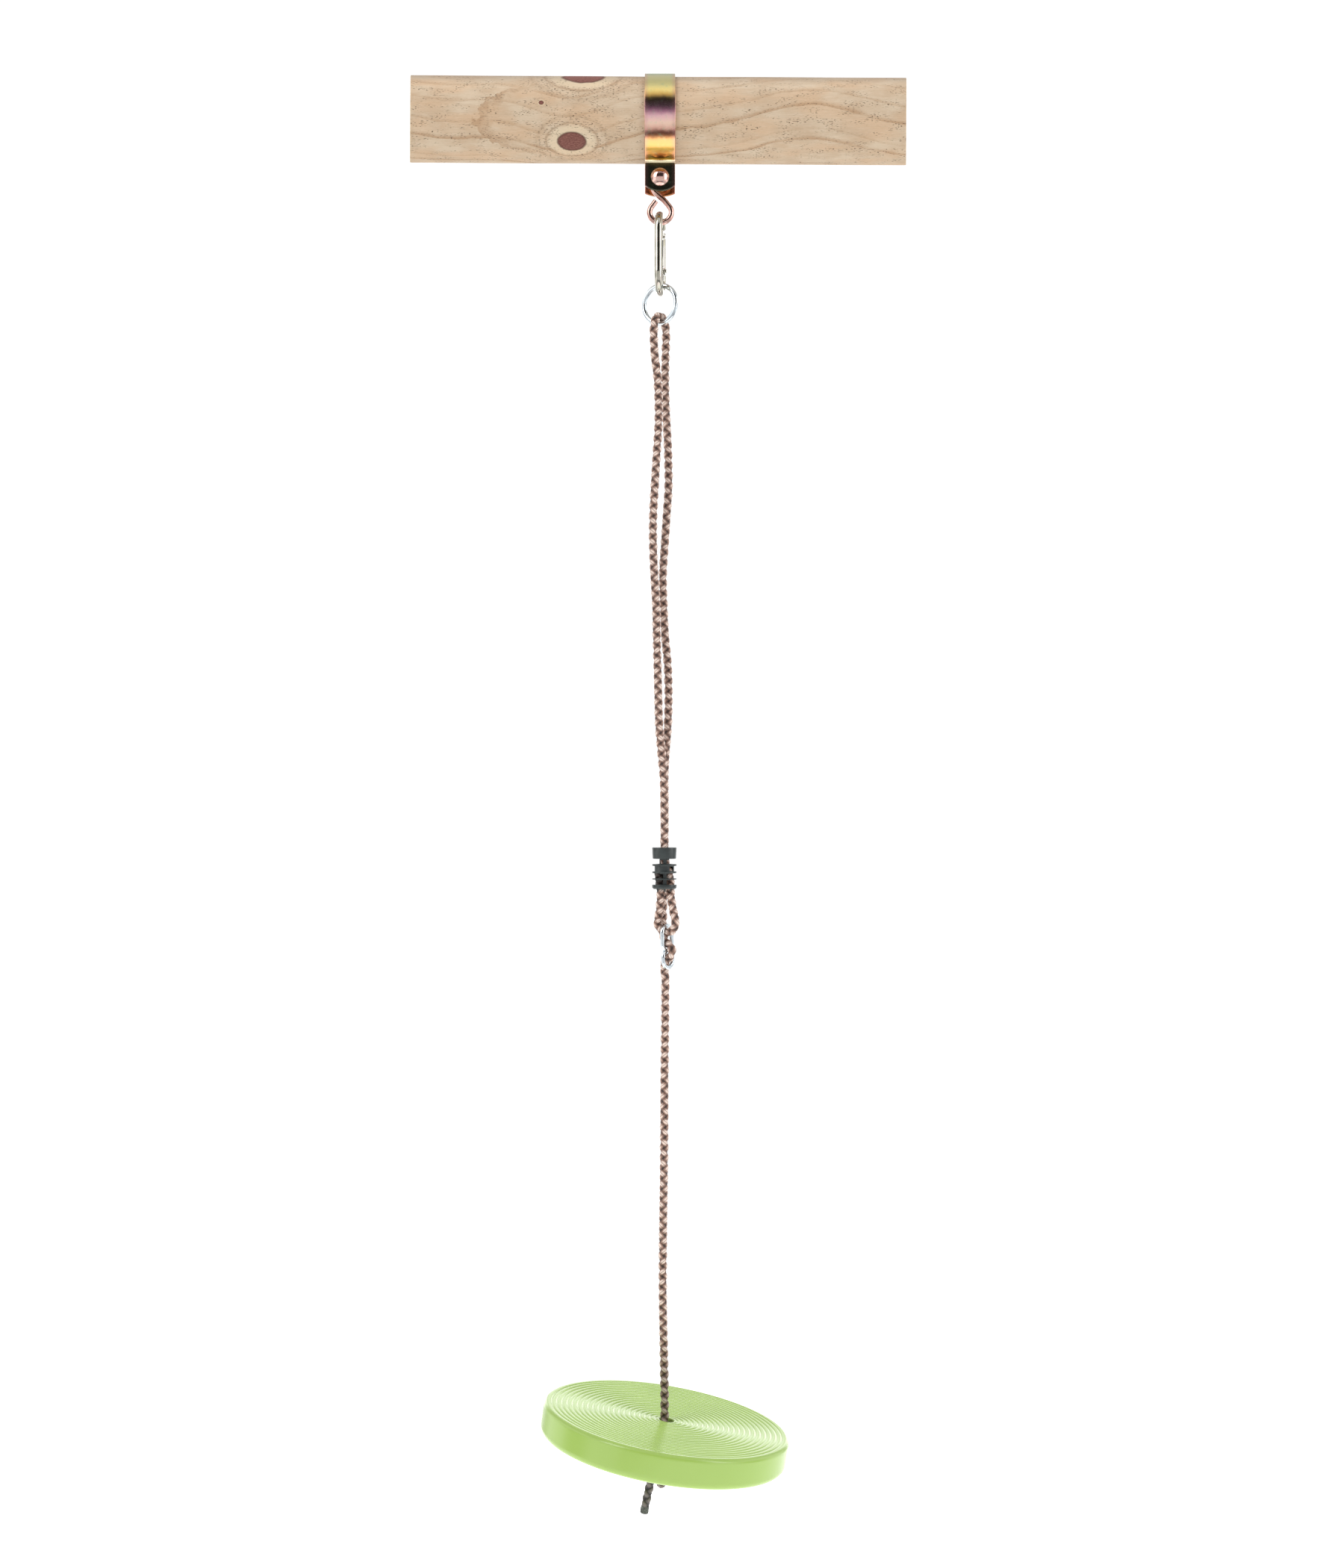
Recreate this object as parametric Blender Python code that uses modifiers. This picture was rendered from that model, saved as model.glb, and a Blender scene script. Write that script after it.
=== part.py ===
"""Disc swing: a round plastic seat on one adjustable rope, hung from a clamp hook on a round pine beam.

Frame: metres, +Z up, +X along the beam, -Y is the side that the bolt head is on.
The origin is on the beam's axis, above the bolt.
"""

from math import acos, atan2, cos, pi, radians, sin, sqrt

import bmesh
import bpy
from mathutils import Matrix, Vector

MM = 0.001
GAP = 0.3  # clearance between pieces that touch, mm

# ---------------------------------------------------------------- driving dimensions, mm
BEAM_D = 96.0
BEAM_X = (-286.0, 282.0)

STRAP_W = 34.5
STRAP_T = 3.0
EAR_GAP = 21.0  # between the inner faces of the two ears
EAR_BOTTOM = -84.1
EAR_ROUND_R = (27.0, 45.0)  # the ends of the front and back ears
BOLT_Z = -68.0

BOLT_D = 7.9  # M8
HEAD_D = 20.7
HEAD_H = 5.0
WASHER_D = 16.0
NUT_AF = 13.0
SLEEVE_D = 12.0

HOOK_WIRE = 6.4
EYE_R = 9.5  # centre line of the hook's eye
LOOP_C = (0.6, -105.4)  # centre of the hook's loop, X and Z
LOOP_RX = 12.45
LOOP_RZ = 11.5

SNAP_WIRE = 9.0
SNAP_HALF = 20.5  # centre line of the snap hook, half its width
SNAP_TOP = -108.9  # centre line
SNAP_BOTTOM = -196.7
SNAP_TURN = radians(6.0)  # its plane is the YZ plane turned about Z
GATE_D = 8.4
GATE_PIVOT_Z = -168.0
GATE_TOP_Z = -124.6

RING_WIRE = 5.6
RING_R = 21.4  # centre line
RING_TURN = radians(32.4)

ROPE_D = 9.6
CLAMP_TOP = -832.2
CLAMP_X = 5.0
CLAMP_Y = -4.5
CLAMP_W = 27.6
CLAMP_DEPTH = 0.72  # depth over width

EIGHT_WIRE = 4.6
EIGHT_W = 22.0
EIGHT_TURN = radians(52.0)
EIGHT_LEAN = radians(3.5)
EIGHT_TOP = (7.6, -1.0, -922.0)  # centre of the wire at the top of the upper eye
EIGHT_UPPER_H = 28.4  # centre-line heights of the two eyes
EIGHT_LOWER_H = 19.6

SEAT_D = 284.0
SEAT_T = 35.0
SEAT_EDGE = 5.5
SEAT_C = (5.3, 0.0, -1502.6)
SEAT_TILT = radians(9.2)  # the side at +X hangs low
SEAT_HOLE_D = 17.0
SEAT_WALL = 3.2
ROPE_X = 5.3  # the lower rope's line at the seat

KNOT_C = (0.6, 0.0, -1544.0)
TAIL_END = (-18.0, 0.0, -1586.5)
TAIL_TIP = (-19.3, 0.0, -1595.0)

COLLECTION = "disc_swing"


# ---------------------------------------------------------------- scene
for old in list(bpy.data.objects):
    bpy.data.objects.remove(old, do_unlink=True)
for old in list(bpy.data.collections):
    bpy.data.collections.remove(old)

parts = bpy.data.collections.new(COLLECTION)
cutters = bpy.data.collections.new("cutters")
bpy.context.scene.collection.children.link(parts)
bpy.context.scene.collection.children.link(cutters)


def material(name, colour, rough, metal=0.0):
    made = bpy.data.materials.new(name)
    made.use_nodes = True
    shader = made.node_tree.nodes["Principled BSDF"]
    shader.inputs["Base Color"].default_value = (*colour, 1.0)
    shader.inputs["Roughness"].default_value = rough
    shader.inputs["Metallic"].default_value = metal
    made.diffuse_color = (*colour, 1.0)
    return made


PINE = material("pine", (0.60, 0.45, 0.29), 0.6)
YELLOW_ZINC = material("yellow_zinc", (0.80, 0.60, 0.25), 0.25, 1.0)
COPPER_ZINC = material("copper_zinc", (0.80, 0.52, 0.42), 0.25, 1.0)
NICKEL = material("nickel", (0.66, 0.63, 0.56), 0.2, 1.0)
ZINC = material("zinc", (0.72, 0.75, 0.78), 0.25, 1.0)
SPRING = material("spring_steel", (0.5, 0.5, 0.5), 0.3, 1.0)
NYLON = material("nylon", (0.75, 0.73, 0.68), 0.5)
ROPE = material("brown_rope", (0.34, 0.22, 0.17), 0.8)
TIP = material("sealed_rope_end", (0.16, 0.18, 0.15), 0.5)
BLACK = material("black_plastic", (0.05, 0.055, 0.055), 0.45)
LIME = material("lime_plastic", (0.49, 0.68, 0.19), 0.35)


def scaled(point):
    return Vector(point) * MM


def adopt(obj, name, mat, collection=parts):
    """Puts the object in its collection only, under its name and material."""
    for home in list(obj.users_collection):
        home.objects.unlink(obj)
    collection.objects.link(obj)
    obj.name = name
    obj.data.name = name
    if mat:
        obj.data.materials.clear()
        obj.data.materials.append(mat)
    if collection is cutters:
        obj.hide_render = True
        obj.display_type = "WIRE"
    return obj


def mesh_object(name, bm, mat, collection=parts):
    bmesh.ops.recalc_face_normals(bm, faces=bm.faces)
    mesh = bpy.data.meshes.new(name)
    bm.to_mesh(mesh)
    bm.free()
    return adopt(bpy.data.objects.new(name, mesh), name, mat, collection)


def smooth(obj, angle=35.0):
    obj.data.shade_smooth()
    obj.data.set_sharp_from_angle(angle=radians(angle))
    return obj


def cylinder(name, r, low, high, axis="Z", centre=(0, 0, 0), mat=None, collection=parts, sides=32, r2=None):
    """A round bar from low to high along the axis, in mm, round the centre."""
    bm = bmesh.new()
    bmesh.ops.create_cone(
        bm,
        cap_ends=True,
        segments=sides,
        radius1=r * MM,
        radius2=(r if r2 is None else r2) * MM,
        depth=(high - low) * MM,
    )
    bmesh.ops.translate(bm, verts=bm.verts, vec=(0, 0, (low + high) / 2 * MM))
    turn = {"Z": Matrix(), "X": Matrix.Rotation(pi / 2, 4, "Y"), "Y": Matrix.Rotation(-pi / 2, 4, "X")}[axis]
    bmesh.ops.transform(bm, matrix=Matrix.Translation(scaled(centre)) @ turn, verts=bm.verts)
    return mesh_object(name, bm, mat, collection)


def box(name, low, high, mat=None, collection=parts, turn=None):
    bm = bmesh.new()
    bmesh.ops.create_cube(bm, size=1.0)
    size = [(b - a) * MM for a, b in zip(low, high)]
    middle = [(b + a) / 2 * MM for a, b in zip(low, high)]
    bmesh.ops.scale(bm, vec=size, verts=bm.verts)
    bmesh.ops.translate(bm, vec=middle, verts=bm.verts)
    if turn:
        bmesh.ops.transform(bm, matrix=turn, verts=bm.verts)
    return mesh_object(name, bm, mat, collection)


def apply_modifiers(obj):
    """Replaces the object's mesh by its evaluated one."""
    bpy.context.view_layer.update()
    graph = bpy.context.evaluated_depsgraph_get()
    fresh = bpy.data.meshes.new_from_object(obj.evaluated_get(graph))
    obj.modifiers.clear()
    obj.data = fresh
    return obj


def boolean(obj, other, operation="DIFFERENCE"):
    """Cuts or joins at once; a joined piece is used up, a cutter stays in its collection."""
    made = obj.modifiers.new("cut", "BOOLEAN")
    made.object = other
    made.operation = operation
    made.solver = "EXACT"
    apply_modifiers(obj)
    if operation == "UNION":
        bpy.data.objects.remove(other, do_unlink=True)
    return obj


def turned(name, profile, mat, steps=48, turn=None, collection=parts):
    """A profile of (radius, z) points in mm, from the outer side's top down, turned about Z."""
    mesh = bpy.data.meshes.new(name)
    mesh.from_pydata([(r * MM, 0, z * MM) for r, z in profile], [(i, i + 1) for i in range(len(profile) - 1)], [])
    obj = adopt(bpy.data.objects.new(name, mesh), name, None, collection)
    screw = obj.modifiers.new("turn", "SCREW")
    screw.steps = screw.render_steps = steps
    screw.use_merge_vertices = True
    screw.merge_threshold = 0.00001
    screw.use_smooth_shade = True
    apply_modifiers(obj)
    bm = bmesh.new()
    bm.from_mesh(obj.data)
    bmesh.ops.remove_doubles(bm, verts=bm.verts, dist=0.000001)
    bmesh.ops.recalc_face_normals(bm, faces=bm.faces)
    if turn:
        bmesh.ops.transform(bm, matrix=turn, verts=bm.verts)
    bm.to_mesh(obj.data)
    bm.free()
    if mat:
        obj.data.materials.clear()
        obj.data.materials.append(mat)
    return obj


def tube(name, points, diameter, mat, closed=False, resolution=2, as_mesh=False, collection=parts):
    """A round wire or cord through points in mm."""
    curve = bpy.data.curves.new(name, "CURVE")
    curve.dimensions = "3D"
    curve.bevel_depth = diameter / 2 * MM
    curve.bevel_resolution = resolution
    curve.use_fill_caps = not closed
    spline = curve.splines.new("POLY")
    spline.points.add(len(points) - 1)
    for spot, point in zip(spline.points, points):
        spot.co = (*scaled(point), 1.0)
    spline.use_cyclic_u = closed
    obj = adopt(bpy.data.objects.new(name, curve), name, mat, collection)
    return curve_to_mesh(obj, mat) if as_mesh else obj


def curve_to_mesh(obj, mat):
    bpy.context.view_layer.update()
    graph = bpy.context.evaluated_depsgraph_get()
    mesh = bpy.data.meshes.new_from_object(obj.evaluated_get(graph))
    name, home, place = obj.name, obj.users_collection[0], obj.matrix_world.copy()
    bpy.data.objects.remove(obj, do_unlink=True)
    bm = bmesh.new()
    bm.from_mesh(mesh)
    bmesh.ops.remove_doubles(bm, verts=bm.verts, dist=0.00001)
    bmesh.ops.recalc_face_normals(bm, faces=bm.faces)
    bm.to_mesh(mesh)
    bm.free()
    made = adopt(bpy.data.objects.new(name, mesh), name, mat, home)
    made.matrix_world = place
    return made


def flat(name, outline, half, matrix, mat=None, collection=parts):
    """A closed 2D outline in mm, extruded by half its thickness each way, then placed."""
    curve = bpy.data.curves.new(name, "CURVE")
    curve.dimensions = "2D"
    curve.fill_mode = "BOTH"
    curve.extrude = half * MM
    spline = curve.splines.new("POLY")
    spline.points.add(len(outline) - 1)
    for spot, (x, y) in zip(spline.points, outline):
        spot.co = (x * MM, y * MM, 0, 1)
    spline.use_cyclic_u = True
    obj = adopt(bpy.data.objects.new(name, curve), name, mat, collection)
    made = curve_to_mesh(obj, mat)
    made.data.transform(matrix)
    return made


def catmull(points, step):
    """Points a step apart along a centripetal Catmull-Rom curve, in mm."""
    pts = [Vector(p) for p in points]
    pts = [2 * pts[0] - pts[1]] + pts + [2 * pts[-1] - pts[-2]]
    fine = []
    for i in range(1, len(pts) - 2):
        p0, p1, p2, p3 = pts[i - 1 : i + 3]
        t0 = 0.0
        t1 = t0 + sqrt((p1 - p0).length)
        t2 = t1 + sqrt((p2 - p1).length)
        t3 = t2 + sqrt((p3 - p2).length)
        for k in range(24):
            t = t1 + (t2 - t1) * k / 24
            a1 = (t1 - t) / (t1 - t0) * p0 + (t - t0) / (t1 - t0) * p1
            a2 = (t2 - t) / (t2 - t1) * p1 + (t - t1) / (t2 - t1) * p2
            a3 = (t3 - t) / (t3 - t2) * p2 + (t - t2) / (t3 - t2) * p3
            b1 = (t2 - t) / (t2 - t0) * a1 + (t - t0) / (t2 - t0) * a2
            b2 = (t3 - t) / (t3 - t1) * a2 + (t - t1) / (t3 - t1) * a3
            fine.append((t2 - t) / (t2 - t1) * b1 + (t - t1) / (t2 - t1) * b2)
    fine.append(pts[-2])
    return resample(fine, step)


def resample(fine, step):
    run = [0.0]
    for a, b in zip(fine, fine[1:]):
        run.append(run[-1] + (b - a).length)
    count = max(2, round(run[-1] / step))
    out, j = [], 0
    for k in range(count + 1):
        want = run[-1] * k / count
        while j < len(run) - 2 and run[j + 1] < want:
            j += 1
        span = run[j + 1] - run[j]
        f = 0.0 if span <= 0 else (want - run[j]) / span
        out.append(fine[j].lerp(fine[j + 1], min(1.0, f)))
    return out


def arc(centre, rx, rz, start, stop, count, y=0.0):
    """Points on an ellipse in the XZ plane; angles in degrees from +X towards +Z."""
    out = []
    for k in range(count + 1):
        a = radians(start + (stop - start) * k / count)
        out.append((centre[0] + rx * cos(a), y, centre[1] + rz * sin(a)))
    return out


# ---------------------------------------------------------------- beam
beam = cylinder("beam", BEAM_D / 2, *BEAM_X, axis="X", mat=PINE, sides=56)
smooth(beam)

# ---------------------------------------------------------------- clamp strap
# One band over the beam; its two ends turn down into flat ears with the hook between them.
half_gap = EAR_GAP / 2
band_r = BEAM_D / 2 + GAP + 0.2
mid_r = band_r + STRAP_T / 2
ear_y = half_gap + STRAP_T / 2
bend_r = 5.0  # centre line of the bend between band and ear
# The bend's centre lies outside the ear, bend_r from both the ear's line and the band's circle.
bend_y = ear_y + bend_r
bend_z = -sqrt((mid_r + bend_r) ** 2 - bend_y**2)
leave = atan2(bend_z, bend_y)  # where the band meets the bend, from +Y
centre_line = [(ear_y, EAR_BOTTOM + (bend_z - EAR_BOTTOM) * k / 10) for k in range(11)]
# On the bend the angle runs from pi (the ear's side) to the direction of the beam's axis.
towards = atan2(-bend_z, -bend_y)
for k in range(1, 6):
    a = pi + (towards - pi) * k / 5
    centre_line.append((bend_y + bend_r * cos(a), bend_z + bend_r * sin(a)))
count = 44
for k in range(1, count):
    a = leave + (pi - 2 * leave) * k / count
    centre_line.append((mid_r * cos(a), mid_r * sin(a)))
centre_line += [(-y, z) for y, z in reversed(centre_line[:16])]


def offset(line, by):
    out = []
    for i, (y, z) in enumerate(line):
        a = line[max(0, i - 1)]
        b = line[min(len(line) - 1, i + 1)]
        dy, dz = b[0] - a[0], b[1] - a[1]
        length = sqrt(dy * dy + dz * dz)
        out.append((y + by * dz / length, z - by * dy / length))
    return out


outline = offset(centre_line, STRAP_T / 2) + list(reversed(offset(centre_line, -STRAP_T / 2)))
# The outline is drawn in (Y, Z) and extruded along X.
yz_plane = Matrix(((0, 0, 1, 0), (1, 0, 0, 0), (0, 1, 0, 0), (0, 0, 0, 1)))
strap = flat("clamp_strap", outline, STRAP_W / 2, yz_plane, YELLOW_ZINC)

xz_plane = Matrix(((1, 0, 0, 0), (0, 0, -1, 0), (0, 1, 0, 0), (0, 0, 0, 1)))
for side, r in zip((-1, 1), EAR_ROUND_R):
    below = [(x, EAR_BOTTOM + r - sqrt(r**2 - x**2)) for x in [-20 + 2 * k for k in range(21)]]
    below += [(20, EAR_BOTTOM - 20), (-20, EAR_BOTTOM - 20)]
    at = Matrix.Translation(scaled((0, side * 20, 0))) @ xz_plane
    boolean(strap, flat(f"ear_end_cut_{side}", below, 20, at, collection=cutters))
boolean(strap, box("square_hole_cut", (-4.3, -20, BOLT_Z - 4.3), (4.3, 0, BOLT_Z + 4.3), collection=cutters))
boolean(strap, cylinder("round_hole_cut", 4.5, 0, 20, "Y", (0, 0, BOLT_Z), collection=cutters, sides=24))
smooth(strap, 40)

# ---------------------------------------------------------------- bolt, washer, nut
ear_out = half_gap + STRAP_T
dome_r = ((HEAD_D / 2) ** 2 + HEAD_H**2) / (2 * HEAD_H)
head = [(0.0, HEAD_H)]
for k in range(1, 8):
    a = acos(1 - HEAD_H / dome_r) * k / 7
    head.append((dome_r * sin(a), HEAD_H - dome_r * (1 - cos(a))))
head += [(HEAD_D / 2 - 0.1, -0.9), (0.0, -0.9)]
# The head's underside is 0.3 mm off the front ear; its dome points to -Y.
to_front = Matrix.Translation(scaled((0, -(ear_out + GAP + 0.9), BOLT_Z))) @ Matrix.Rotation(pi / 2, 4, "X")
bolt = turned("carriage_bolt", head, YELLOW_ZINC, 36, to_front)
neck_end = -(half_gap + 0.3)
boolean(bolt, box("neck", (-4.0, -(ear_out + GAP + 0.5), BOLT_Z - 4.0), (4.0, neck_end, BOLT_Z + 4.0), YELLOW_ZINC), "UNION")
bolt_end = ear_out + 1.6 + 8.0 + 4.0
boolean(bolt, cylinder("shank", BOLT_D / 2, neck_end - 1.0, bolt_end, "Y", (0, 0, BOLT_Z), YELLOW_ZINC, sides=24), "UNION")
smooth(bolt)

washer = turned(
    "back_washer",
    [(WASHER_D / 2, 1.6), (WASHER_D / 2, 0), (4.25, 0), (4.25, 1.6), (WASHER_D / 2, 1.6)],
    YELLOW_ZINC,
    32,
    Matrix.Translation(scaled((0, ear_out + GAP, BOLT_Z))) @ Matrix.Rotation(-pi / 2, 4, "X"),
)
smooth(washer)

nut_low = ear_out + GAP + 1.6 + GAP
nut = cylinder("lock_nut", NUT_AF / 2 / cos(pi / 6), nut_low, nut_low + 8.0, "Y", (0, 0, BOLT_Z), YELLOW_ZINC, sides=6)
boolean(nut, cylinder("nut_bore", 4.25, 0, 60, "Y", (0, 0, BOLT_Z), collection=cutters, sides=24))
smooth(nut)

# ---------------------------------------------------------------- swivel sleeve and spacers inside the ears
sleeve = turned(
    "swivel_sleeve",
    [(SLEEVE_D / 2, half_gap - GAP), (SLEEVE_D / 2, -half_gap + GAP), (4.3, -half_gap + GAP), (4.3, half_gap - GAP), (SLEEVE_D / 2, half_gap - GAP)],
    SPRING,
    32,
    Matrix.Translation(scaled((0, 0, BOLT_Z))) @ Matrix.Rotation(-pi / 2, 4, "X"),
)
smooth(sleeve)
for name, side in (("front_spacer", -1), ("back_spacer", 1)):
    low, high = HOOK_WIRE / 2 + GAP, half_gap - GAP
    ring = [(9.6, high), (9.6, low), (SLEEVE_D / 2 + GAP, low), (SLEEVE_D / 2 + GAP, high), (9.6, high)]
    spacer = turned(
        name,
        ring,
        NYLON,
        32,
        Matrix.Translation(scaled((0, 0, BOLT_Z))) @ Matrix.Rotation(-pi / 2 * side, 4, "X"),
    )
    smooth(spacer)

# ---------------------------------------------------------------- swing hook, an S of one wire
eye = arc((0, BOLT_Z), EYE_R, EYE_R, -82, 188, 22)
cross = [(-8.6, 0, -75.6), (-6.2, 0, -81.2), (-1.0, 0, -86.6), (4.6, 0, -91.4)]
loop = arc(LOOP_C, LOOP_RX, LOOP_RZ, 38, -232, 26)
tip = [(-6.2, 0, -94.3), (-4.6, 0, -92.2)]
hook = tube("swing_hook", catmull(eye + cross + loop[:-1] + tip[1:], 2.6), HOOK_WIRE, COPPER_ZINC, resolution=3, as_mesh=True)
smooth(hook, 60)

# ---------------------------------------------------------------- snap hook
# Drawn in its own plane: u to the back (gate side), w across, z up.
snap_turn = Matrix.Translation(scaled((0.3, 0, 0))) @ Matrix.Rotation(-SNAP_TURN, 4, "Z")


def snap(u, z, w=0.0):
    return (w, u, z)


top_c = SNAP_TOP - SNAP_HALF
bottom_c = SNAP_BOTTOM + SNAP_HALF
body_path = []
for k in range(15):  # the nose end on the gate side, over the top, to the spine
    a = radians(24 + (180 - 24) * k / 14)
    body_path.append(snap(SNAP_HALF * cos(a), top_c + SNAP_HALF * sin(a)))
for k in range(1, 4):
    body_path.append(snap(-SNAP_HALF, top_c + (bottom_c - top_c) * k / 4))
for k in range(17):
    a = radians(180 + 180 * k / 16)
    body_path.append(snap(SNAP_HALF * cos(a), bottom_c + SNAP_HALF * sin(a)))
body_path.append(snap(SNAP_HALF, GATE_PIVOT_Z - 5.4))
snap_body = tube("snap_hook_body", body_path, SNAP_WIRE, NICKEL, resolution=3, as_mesh=True)
# The nose ends in a tongue with a cross pin, the lower end in a tongue for the rivet.
boolean(snap_body, box("nose_tongue", (-1.6, 16.9, -130.6), (1.6, 20.6, -119.0), NICKEL), "UNION")
boolean(snap_body, cylinder("nose_pin", 1.5, -3.7, 3.7, "X", (0, 19.0, -128.9), NICKEL, sides=16), "UNION")
boolean(snap_body, cylinder("hinge_tongue", 3.9, -1.7, 1.7, "X", (0, SNAP_HALF, GATE_PIVOT_Z), NICKEL, sides=20), "UNION")
boolean(snap_body, box("tongue_root", (-1.7, SNAP_HALF - 3.6, GATE_PIVOT_Z - 9), (1.7, SNAP_HALF + 3.6, GATE_PIVOT_Z), NICKEL), "UNION")
boolean(snap_body, cylinder("rivet_hole", 1.8, -6, 6, "X", (0, SNAP_HALF, GATE_PIVOT_Z), collection=cutters, sides=16))
snap_body.data.transform(snap_turn)
smooth(snap_body, 45)

gate = cylinder("snap_gate", GATE_D / 2, GATE_PIVOT_Z, GATE_TOP_Z, "Z", (0, SNAP_HALF, 0), NICKEL, sides=24)
boolean(gate, cylinder("gate_foot", GATE_D / 2 - 0.02, -GATE_D / 2 + 0.4, GATE_D / 2 - 0.4, "X", (0, SNAP_HALF, GATE_PIVOT_Z), NICKEL, sides=24), "UNION")
boolean(gate, box("fork_slot", (-2.1, 0, GATE_PIVOT_Z - 9), (2.1, 40, GATE_PIVOT_Z + 5.0), collection=cutters))
boolean(gate, box("nose_slot", (-2.0, 0, -132.6), (2.0, 40, -110), collection=cutters))
boolean(gate, box("pin_notch", (-6, 16.9, -131.3), (6, 40, -126.5), collection=cutters))
boolean(gate, cylinder("gate_rivet_hole", 1.8, -6, 6, "X", (0, SNAP_HALF, GATE_PIVOT_Z), collection=cutters, sides=16))
boolean(gate, cylinder("spring_bore", 1.9, GATE_PIVOT_Z + 4, GATE_PIVOT_Z + 24, "Z", (0, SNAP_HALF, 0), collection=cutters, sides=16))
gate.data.transform(snap_turn)
smooth(gate, 40)

rivet_end = GATE_D / 2 + GAP
rivet = cylinder("gate_rivet", 1.5, -rivet_end - 0.8, rivet_end + 0.8, "X", (0, SNAP_HALF, GATE_PIVOT_Z), NICKEL, sides=20)
for side in (-1, 1):
    low, high = sorted((side * rivet_end, side * (rivet_end + 0.8)))
    boolean(rivet, cylinder("rivet_head", 2.4, low, high, "X", (0, SNAP_HALF, GATE_PIVOT_Z), NICKEL, sides=20), "UNION")
rivet.data.transform(snap_turn)
smooth(rivet)

plunger = cylinder("gate_plunger", 1.5, GATE_PIVOT_Z + 4.3, GATE_PIVOT_Z + 9.5, "Z", (0, SNAP_HALF, 0), SPRING, sides=16)
plunger.data.transform(snap_turn)
smooth(plunger)
turns, coil_r, coil_low, coil_high = 6, 1.25, GATE_PIVOT_Z + 10.2, GATE_PIVOT_Z + 23.2
coil = []
for k in range(turns * 10 + 1):
    a = 2 * pi * k / 10
    coil.append((coil_r * cos(a), SNAP_HALF + coil_r * sin(a), coil_low + (coil_high - coil_low) * k / (turns * 10)))
spring = tube("gate_spring", coil, 0.6, SPRING, resolution=1, as_mesh=True)
spring.data.transform(snap_turn)
smooth(spring, 60)

# ---------------------------------------------------------------- top ring
ring_z = SNAP_BOTTOM + SNAP_WIRE / 2 + GAP + RING_WIRE / 2 - RING_R
bpy.ops.mesh.primitive_torus_add(
    major_segments=48, minor_segments=12, major_radius=RING_R * MM, minor_radius=RING_WIRE / 2 * MM, location=(0, 0, 0)
)
ring = adopt(bpy.context.active_object, "top_ring", ZINC)
ring.data.transform(
    Matrix.Translation(scaled((0, 0, ring_z))) @ Matrix.Rotation(-RING_TURN, 4, "Z") @ Matrix.Rotation(pi / 2, 4, "X")
)
smooth(ring, 60)

# ---------------------------------------------------------------- rope clamp: a moulded cage round the rope and its end
w = CLAMP_W / 2
clamp_profile = [
    (0.0, 0.0), (w - 0.6, 0.0), (w, -0.6), (w - 0.3, -12.6), (w - 0.9, -13.2), (9.6, -13.2), (9.6, -18.8), (w, -18.9), (w, -21.0),
    (11.3, -21.0), (11.3, -27.4), (w, -27.4), (w, -29.3), (9.9, -29.3), (9.9, -35.0), (w, -35.0), (w, -36.5), (9.9, -36.5), (9.9, -42.6),
    (w + 0.2, -42.6), (w + 0.2, -45.6), (w - 2.4, -48.0), (0.0, -48.0),
]
squash = Matrix.Translation(scaled((CLAMP_X, CLAMP_Y, CLAMP_TOP))) @ Matrix.Diagonal((1, CLAMP_DEPTH, 1, 1))
clamp = turned("rope_clamp", clamp_profile, BLACK, 40, squash)
boolean(clamp, cylinder("rope_entry", ROPE_D / 2 + 0.5, -20, 5, "Z", (CLAMP_X, CLAMP_Y, CLAMP_TOP), collection=cutters, sides=24))
CAVITY_HALF = 5.4  # in Y, round the two ropes
cavity = []
for k in range(13):
    a = -pi / 2 + pi * k / 12
    cavity.append((6.9 + 5.2 * cos(a), CAVITY_HALF * sin(a)))
cavity += [(-x, y) for x, y in reversed(cavity)]
hollow = flat("cavity_cut", cavity, 20.0, Matrix.Translation(scaled((CLAMP_X, CLAMP_Y, CLAMP_TOP - 31.5))), collection=cutters)
boolean(clamp, hollow)
# Windows in the front beside the middle rib: the right ones open on the rope, the left ones are shallow pockets.
WINDOWS = [(-17.8, -14.2), (-26.4, -22.0), (-34.2, -30.2), (-41.6, -37.4)]
for n, (low, high) in enumerate(WINDOWS):
    for side in (-1, 1):
        x0, x1 = sorted((side * 2.2, side * 7.2))
        boolean(
            clamp,
            box(
                f"window_cut_{n}_{'lr'[side > 0]}",
                (CLAMP_X + x0, CLAMP_Y - 20, CLAMP_TOP + low),
                (CLAMP_X + x1, CLAMP_Y - (0 if side > 0 else 6.4), CLAMP_TOP + high),
                collection=cutters,
            ),
        )
smooth(clamp, 35)

# ---------------------------------------------------------------- eight-shaped ring of the length adjuster
# Drawn in its own plane: s across, z down from the top of the upper eye.
eight_side = Vector((cos(EIGHT_TURN), sin(EIGHT_TURN), 0))
eight_face = Vector((sin(EIGHT_TURN), -cos(EIGHT_TURN), 0))
eight_half = (EIGHT_W - EIGHT_WIRE) / 2


def on_eight(s, down, off=0.0):
    """A point in the frame of the eight: s across its plane, down from its top, off its face to the front right."""
    s, down = s * cos(EIGHT_LEAN) + down * sin(EIGHT_LEAN), down * cos(EIGHT_LEAN) - s * sin(EIGHT_LEAN)
    return tuple(Vector(EIGHT_TOP) + eight_side * s + eight_face * off + Vector((0, 0, -down)))


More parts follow.
